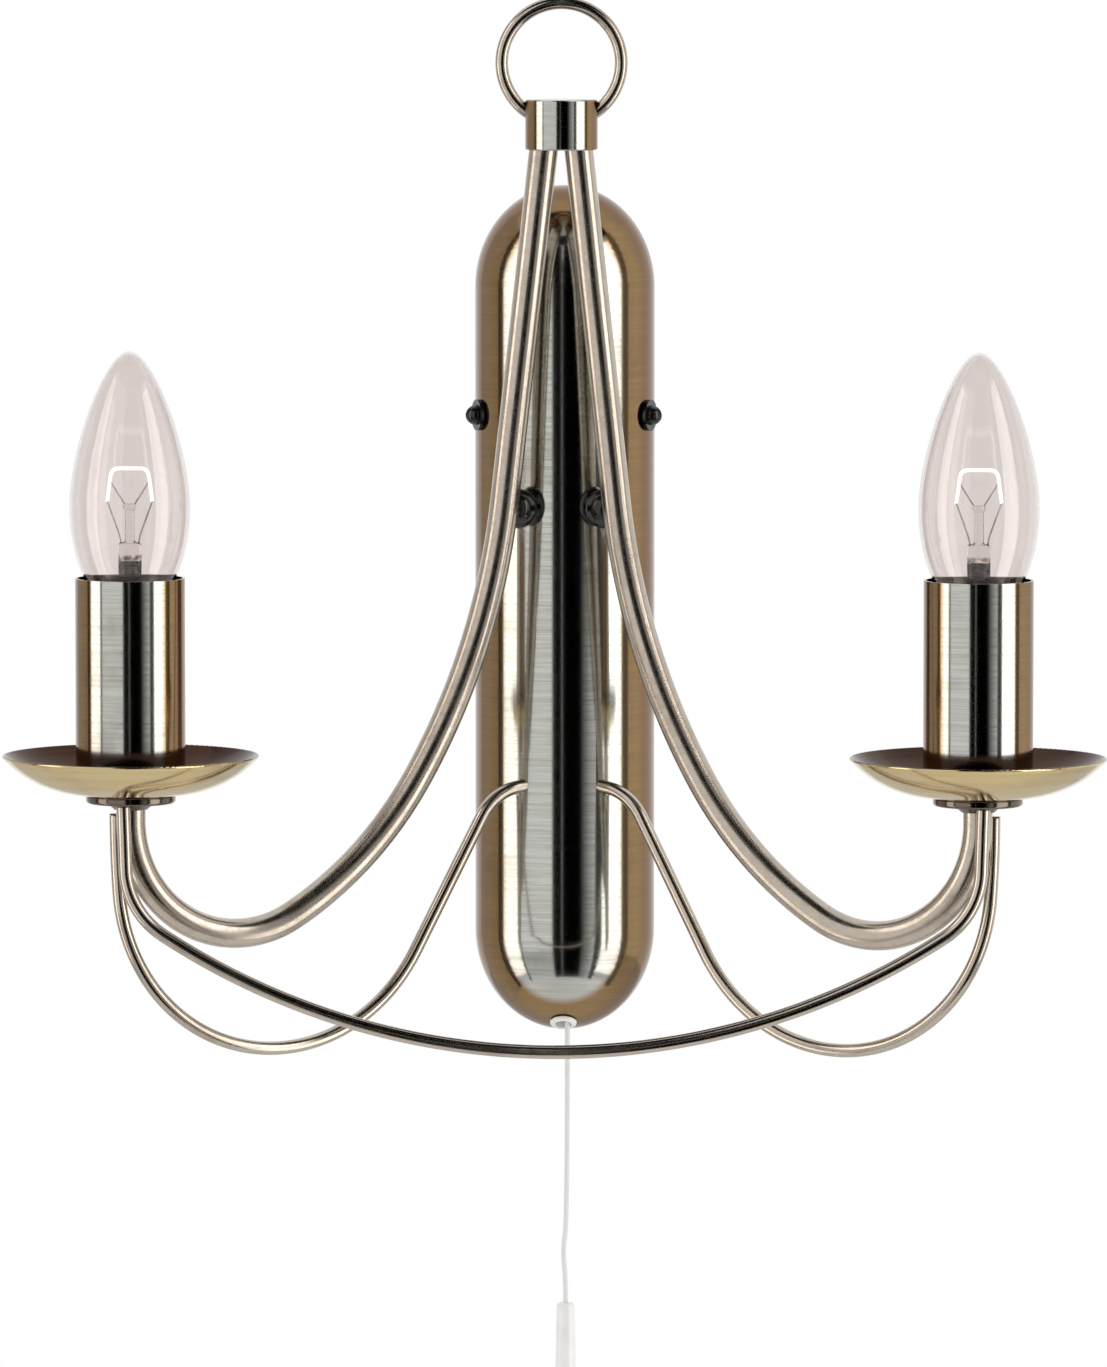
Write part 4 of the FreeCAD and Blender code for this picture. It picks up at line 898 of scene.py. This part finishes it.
@dataclass
class PullCord:
    """White cord: its inner length in the switch, and its free length that ends in the handle."""

    diameter: float = 0.0015
    length: float = 0.0837
    route_mm: tuple[tuple[float, float, float], ...] = (
        (1.2, -12.6, -124.9),
        (1.2, -12.6, -184.0),
        (-0.2, -12.6, -192.5),
        (0.7, -12.6, -201.0),
        (0.7, -12.6, -208.5),
    )

    def inner(self, material: bpy.types.Material) -> None:
        """Straight braided length from the switch's plunger down to the bush."""
        low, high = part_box("cord_tail")
        middle = centre_of("cord_tail")
        path = np.linspace((*middle, low.z), (*middle, high.z), 24)
        made = piece("inner_cord", swept(path, self.diameter / 2, 20, np.array([0.0, 1.0, 0.0])), material)
        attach(made, "pull")
        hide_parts("cord_tail")

    def free(self, material: bpy.types.Material) -> None:
        """Free cord on one smooth spline, with the route's points as its control points."""
        curve = bpy.data.curves.new("pull_cord_line", "CURVE")
        curve.dimensions = "3D"
        spline = curve.splines.new("NURBS")
        spline.points.add(len(self.route_mm) - 1)
        for control, point in zip(spline.points, self.route_mm):
            control.co = (*(Vector(point) * MM), 1.0)
        spline.order_u = 3
        spline.use_endpoint_u = True
        spline.resolution_u = 24
        curve.bevel_depth = self.diameter / 2
        curve.bevel_resolution = 5
        curve.use_fill_caps = True
        curve.materials.append(material)
        made = bpy.data.objects.new("hanging_cord", curve)
        bpy.context.scene.collection.objects.link(made)
        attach(made, "pull")
        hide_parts("pull_cord")
        LOG.info("made %s", made.name)


# ---------------------------------------------------------------- finishes of the model's own nodes

ZINC = Plain((0.55, 0.56, 0.58), (0.42, 0.43, 0.44), 1.0, 0.34)
SWITCH = Plain((0.5, 0.49, 0.46), (0.42, 0.41, 0.39), 0.0, 0.4)


class Finishes:
    """Every material of the sconce, and which of the model's nodes takes which."""

    PINCH_ABOVE_FOOT: ClassVar[float] = 0.0212
    PINCH_REACH: ClassVar[float] = 0.0012
    DOME_LENGTH: ClassVar[float] = 0.0305
    PAN_FLAT: ClassVar[float] = 0.013
    PAN_RISE: ClassVar[float] = 0.0107
    PAN_INSET: ClassVar[float] = 0.0003

    def __init__(self) -> None:
        """Makes the materials that the built pieces take."""
        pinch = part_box("lamp_mount_left")[0].z + self.PINCH_ABOVE_FOOT
        self.glass = principled("clear_bulb_glass", Glass((0.845, 0.80, 0.785)))
        pressed = Glass((0.86, 0.84, 0.82), (pinch, self.PINCH_REACH))
        self.mount_glass = principled("mount_glass", pressed)
        thin = BrassWithPaintedLightAndShade(PEWTER, roughness=0.13, scratch_share=0.1, scratch_depth=1e-6)
        self.wire = principled("wire_brass", thin)
        self.arm = principled("arm_brass", BrassWithPaintedLightAndShade(PEWTER, roughness=0.2, scratch_share=0.15))
        self.nickel = principled("cap_nickel", Plain((0.66, 0.64, 0.6), (0.5, 0.48, 0.45), 1.0, 0.22))
        self.lead = principled("lead_wire_nickel", Plain((0.5, 0.48, 0.46), (0.3, 0.28, 0.26), 1.0, 0.25))
        # The filament's painted glow: emission that makes the thin wire read as white.
        self.glow = principled("filament_painted_glow", PaintedGlow((1.0, 0.98, 0.95), (1.0, 0.93, 0.85), 1.6))
        self.cord = principled("white_braid", Braid((0.8, 0.8, 0.79), (0.5, 0.5, 0.5)))

    def _brass(self) -> dict[str, BrassWithPaintedLightAndShade]:
        """Brass finishes by the nodes that take them."""
        low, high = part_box("back_cover")
        dome = (high.z - self.DOME_LENGTH, (high.x - low.x) / 2 / self.DOME_LENGTH)
        # Turned parts take painted reflection on their flanks.
        turned: dict[str, object] = {"grain": Grain.LEVEL, "flanks": (0.60, 0.71)}
        brass = {
            "back_cover": BrassWithPaintedLightAndShade(dome=dome, **turned),
            "collar": BrassWithPaintedLightAndShade(axis=centre_of("collar"), rows=7000.0, **turned),
            "top_ring": BrassWithPaintedLightAndShade(PEWTER, roughness=0.13),
        }
        for side in SIDES:
            axis = centre_of(f"candle_tube_{side}")
            brass[f"candle_tube_{side}"] = BrassWithPaintedLightAndShade(axis=axis, **turned)
            low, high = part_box(f"drip_pan_{side}")
            reach = (high.x - low.x) / 2 - self.PAN_FLAT
            curve = (reach**2 + self.PAN_RISE**2) / (2 * self.PAN_RISE)
            # The pan's hollow takes the painted shade, dark brown on its inner face.
            hollow = (self.PAN_FLAT, low.z + curve, curve - self.PAN_INSET)
            brass[f"drip_pan_{side}"] = BrassWithPaintedLightAndShade(
                STRAW, Grain.SPUN, axis, hollow=hollow, rows=2600.0, scratch_share=0.2
            )
            # Painted shade: the arm flanges and pan seats take a dark brass colour.
            for name in ("arm_flange", "pan_seat"):
                brass[f"{name}_{side}"] = BrassWithPaintedLightAndShade(PAINTED_SHADE_BRASS)
        return brass

    @staticmethod
    def _plain() -> dict[tuple[str, ...], Plain]:
        """Other finishes by the nodes that take them, without their sides."""
        return {
            ("side_screw", "standoff"): Plain((0.004, 0.004, 0.004), (0.008, 0.007, 0.006), 0.0, 0.12),
            ("wall_bracket", "standoff_nuts", "brace_nuts", "earth_screw", "terminal_screws"): ZINC,
            ("nipple", "holder_nut"): ZINC,
            ("cable_bush",): Plain((0.02, 0.02, 0.02), (0.035, 0.034, 0.033), 0.0, 0.7),
            ("terminal_block",): Plain((0.72, 0.71, 0.68), (0.64, 0.63, 0.6), 0.0, 0.4),
            ("lamp_holder",): Plain((0.66, 0.65, 0.6), (0.58, 0.57, 0.52)),
            ("holder_contact",): Plain((0.72, 0.52, 0.22), (0.6, 0.42, 0.17), 1.0, 0.3),
            ("switch_housing", "switch_cap", "switch_rotor", "switch_plunger"): SWITCH,
            ("switch_spring",): Plain((0.5, 0.5, 0.52), (0.35, 0.35, 0.36), 1.0, 0.3),
            ("cord_bush", "pull_handle"): Plain((0.8, 0.8, 0.79), (0.74, 0.74, 0.73), 0.0, 0.3, 0.3),
        }

    def dress_nodes(self) -> None:
        """Gives the nodes that keep their own meshes their materials."""
        recipes: dict[str, Finish] = dict(self._brass())
        for names, recipe in self._plain().items():
            recipes.update({node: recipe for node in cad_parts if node.startswith(names)})
        made: dict[Finish, bpy.types.Material] = {}
        for node, recipe in recipes.items():
            if recipe not in made:
                made[recipe] = principled(f"finish_{node}", recipe)
            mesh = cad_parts[node].data
            mesh.materials.clear()
            mesh.materials.append(made[recipe])
            LOG.info("dressed %s in %s", node, made[recipe].name)


# ---------------------------------------------------------------- studio


@dataclass(frozen=True)
class Card:
    """Screen on a sphere round the sconce: azimuths and elevations in degrees, and its sides' greys."""

    start: float
    end: float
    near: float
    far: float
    low: float = -50.0
    high: float = 46.0


@dataclass
class Studio:
    """Pale floor, white surroundings with dark and grey screens, two tall soft lamps and the camera."""

    azimuth: float = 2.0
    elevation: float = 4.9
    distance: float = 3.0
    focal_pixels: float = 9983.0
    photo_height: float = 1367.0
    sensor: float = 36.0
    target: tuple[float, float, float] = (-0.00341, 0.0, -0.02275)
    floor_depth: float = 1.6
    floor_reach: float = 4.0
    floor_fade: Pair = (0.25, 0.7)
    floor_grey: float = 0.84
    lamp_distance: float = 1.5
    lamp_height: float = 2.7
    card_reach: float = 1.8
    card_rows: int = 25
    card_columns: int = 13
    ambient: float = 0.85
    cards: tuple[Card, ...] = (
        Card(-135.0, -93.0, 0.75, 0.6),
        Card(-93.0, -84.0, 0.08, 0.08),
        Card(-60.0, -56.5, 0.05, 0.05),
        Card(-14.0, -2.4, 0.0, 0.0),
        Card(-2.4, -1.0, 0.35, 0.35, high=30.0),
        Card(-1.0, 22.0, 0.0, 0.0),
        Card(22.0, 41.0, 0.0, 0.75),
        Card(41.0, 50.0, 0.05, 0.05),
        Card(80.0, 91.0, 0.15, 0.3),
        Card(-88.0, 88.0, 0.02, 0.02, low=46.0, high=89.0),
    )

    def camera(self) -> None:
        """Camera at the photograph's angle, distance and framing."""
        a, e = math.radians(self.azimuth), math.radians(self.elevation)
        back = Vector((math.sin(a) * math.cos(e), -math.cos(a) * math.cos(e), math.sin(e)))
        lens = bpy.data.cameras.new("camera")
        lens.sensor_width = self.sensor
        lens.lens = self.focal_pixels / self.photo_height * self.sensor
        eye = bpy.data.objects.new("camera", lens)
        eye.location = Vector(self.target) + back * self.distance
        eye.rotation_mode = "QUATERNION"
        eye.rotation_quaternion = (-back).to_track_quat("-Z", "Y")
        bpy.context.scene.collection.objects.link(eye)
        bpy.context.scene.camera = eye

    def floor(self) -> None:
        """Round pale floor that keeps the sconce's shadow and fades into the white surroundings."""
        material = bpy.data.materials.new("pale_floor")
        graph = Graph(material)
        x, y, _ = graph.split(graph.place())
        seen = graph.value(graph.node("ShaderNodeLightPath"), "Is Camera Ray")
        fade_from, fade_to = (share * self.floor_reach for share in self.floor_fade)
        fade = graph.gone(graph.length(x, y), fade_from, fade_to)
        pale = graph.node("ShaderNodeBsdfDiffuse", None, {"Color": solid((self.floor_grey,) * 3)})
        white = graph.node("ShaderNodeEmission", None, {"Color": solid(WHITE), "Strength": 1.0})
        inputs = {0: fade * seen, 1: graph.value(pale), 2: graph.value(white)}
        graph.finish("ShaderNodeMixShader", inputs)
        low = -self.floor_depth
        outline = [(0.0, low), (self.floor_reach, low), (self.floor_reach, low - MM), (0.0, low - MM)]
        piece("floor", revolved(np.array(outline), (0.0, 0.0), 128), material)

    def screens(self) -> None:
        """Dark and grey cards for the metal to reflect, which the camera and the glass look through.

        Each card is a grid of even azimuths and elevations on a sphere, shaded from its near to its far
        grey.
        """
        material = bpy.data.materials.new("studio_cards")
        graph = Graph(material)
        grey = graph.value(graph.node("ShaderNodeAttribute", {"attribute_name": "grey"}), "Fac")
        rays = graph.node("ShaderNodeLightPath")
        mirrored = graph.value(rays, "Is Glossy Ray") - graph.value(rays, "Is Transmission Ray")
        colour = graph.between(grey, (0.0, 0.0, 0.0), WHITE)
        clear = graph.value(graph.node("ShaderNodeBsdfTransparent"))
        shade = graph.value(graph.node("ShaderNodeEmission", None, {"Color": colour}))
        graph.finish("ShaderNodeMixShader", {0: mirrored, 1: clear, 2: shade})
        rows, columns = self.card_rows, self.card_columns
        grids, greys, faces = [], [], []
        row, column = np.meshgrid(np.arange(rows - 1), np.arange(columns - 1), indexing="ij")
        corner = (row * columns + column).reshape(-1, 1)
        for card in self.cards:
            elevation, azimuth = np.meshgrid(
                np.radians(np.linspace(card.low, card.high, rows)),
                np.radians(np.linspace(card.start, card.end, columns)),
                indexing="ij",
            )
            level = np.cos(elevation)
            way = [np.sin(azimuth) * level, -np.cos(azimuth) * level, np.sin(elevation)]
            faces.append(corner + [0, 1, columns + 1, columns] + len(grids) * rows * columns)
            grids.append(self.card_reach * np.stack(way, axis=-1).reshape(-1, 3))
            greys.append(np.broadcast_to(np.linspace(card.near, card.far, columns), (rows, columns)).ravel())
        mesh = bpy.data.meshes.new("cards")
        mesh.from_pydata(np.vstack(grids), [], np.vstack(faces))
        shades = mesh.attributes.new("grey", "FLOAT", "POINT")
        shades.data.foreach_set("value", np.concatenate(greys))
        mesh.materials.append(material)
        made = bpy.data.objects.new("cards", mesh)
        bpy.context.scene.collection.objects.link(made)

    def world(self) -> None:
        """White for what the camera, metal and glass see, and a plain level of light on the object."""
        world = bpy.data.worlds.new("studio")
        bpy.context.scene.world = world
        graph = Graph(world)
        rays = graph.node("ShaderNodeLightPath")
        kinds = ("Is Camera Ray", "Is Glossy Ray", "Is Transmission Ray")
        camera, glossy, through = (graph.value(rays, kind) for kind in kinds)
        seen = graph.math("MAXIMUM", graph.math("MAXIMUM", camera, glossy), through)
        colour = graph.between(seen, (self.ambient,) * 3, WHITE)
        background = graph.node("ShaderNodeBackground", None, {"Color": colour, "Strength": 1.0})
        graph.node("ShaderNodeOutputWorld", None, {"Surface": graph.value(background)})

    def softbox(self, name: str, azimuth: float, width: float, glow: float, colour: Colour) -> None:
        """Tall soft lamp that faces the sconce.

        Args:
            name: the lamp's name.
            azimuth: its direction round the sconce, in degrees.
            width: its width in metres.
            glow: its brightness, where 1 is a white surface at the plain level.
            colour: its tint.
        """
        light = bpy.data.lights.new(name, "AREA")
        light.shape = "RECTANGLE"
        light.size, light.size_y = width, self.lamp_height
        light.energy = glow * math.pi * width * self.lamp_height
        light.color = colour
        a = math.radians(azimuth)
        away = Vector((math.sin(a), -math.cos(a), 0.0))
        lamp = bpy.data.objects.new(name, light)
        lamp.location = away * self.lamp_distance
        lamp.rotation_mode = "QUATERNION"
        lamp.rotation_quaternion = away.to_track_quat("Z", "Y")
        bpy.context.scene.collection.objects.link(lamp)

    def build(self) -> None:
        """Sets the whole studio up."""
        bpy.context.scene.view_settings.view_transform = "Standard"
        self.camera()
        self.floor()
        self.screens()
        self.world()
        self.softbox("soft_lamp_left", -72.0, 0.6, 1.5, (1.0, 0.9, 0.8))
        self.softbox("soft_lamp_right", 65.0, 0.78, 1.75, (1.0, 0.98, 0.94))


def main() -> None:
    """Builds the studio, the finishes, the wires, the cord and the lamps."""
    logging.basicConfig(level=logging.INFO, format="%(name)s: %(message)s")
    Studio().build()
    finishes = Finishes()
    finishes.dress_nodes()
    wires = Wirework()
    wires.arms(finishes.arm)
    wires.braces(finishes.wire)
    wires.tie(finishes.wire)
    cord = PullCord()
    cord.inner(finishes.cord)
    cord.free(finishes.cord)
    for side in SIDES:
        lamp = Lamp(side)
        lamp.glass(finishes.glass)
        lamp.cap(finishes.nickel)
        lamp.mount(finishes.mount_glass)
        lamp.wires(finishes.lead)
        lamp.filament(finishes.glow)


if __name__ == "__main__":
    main()
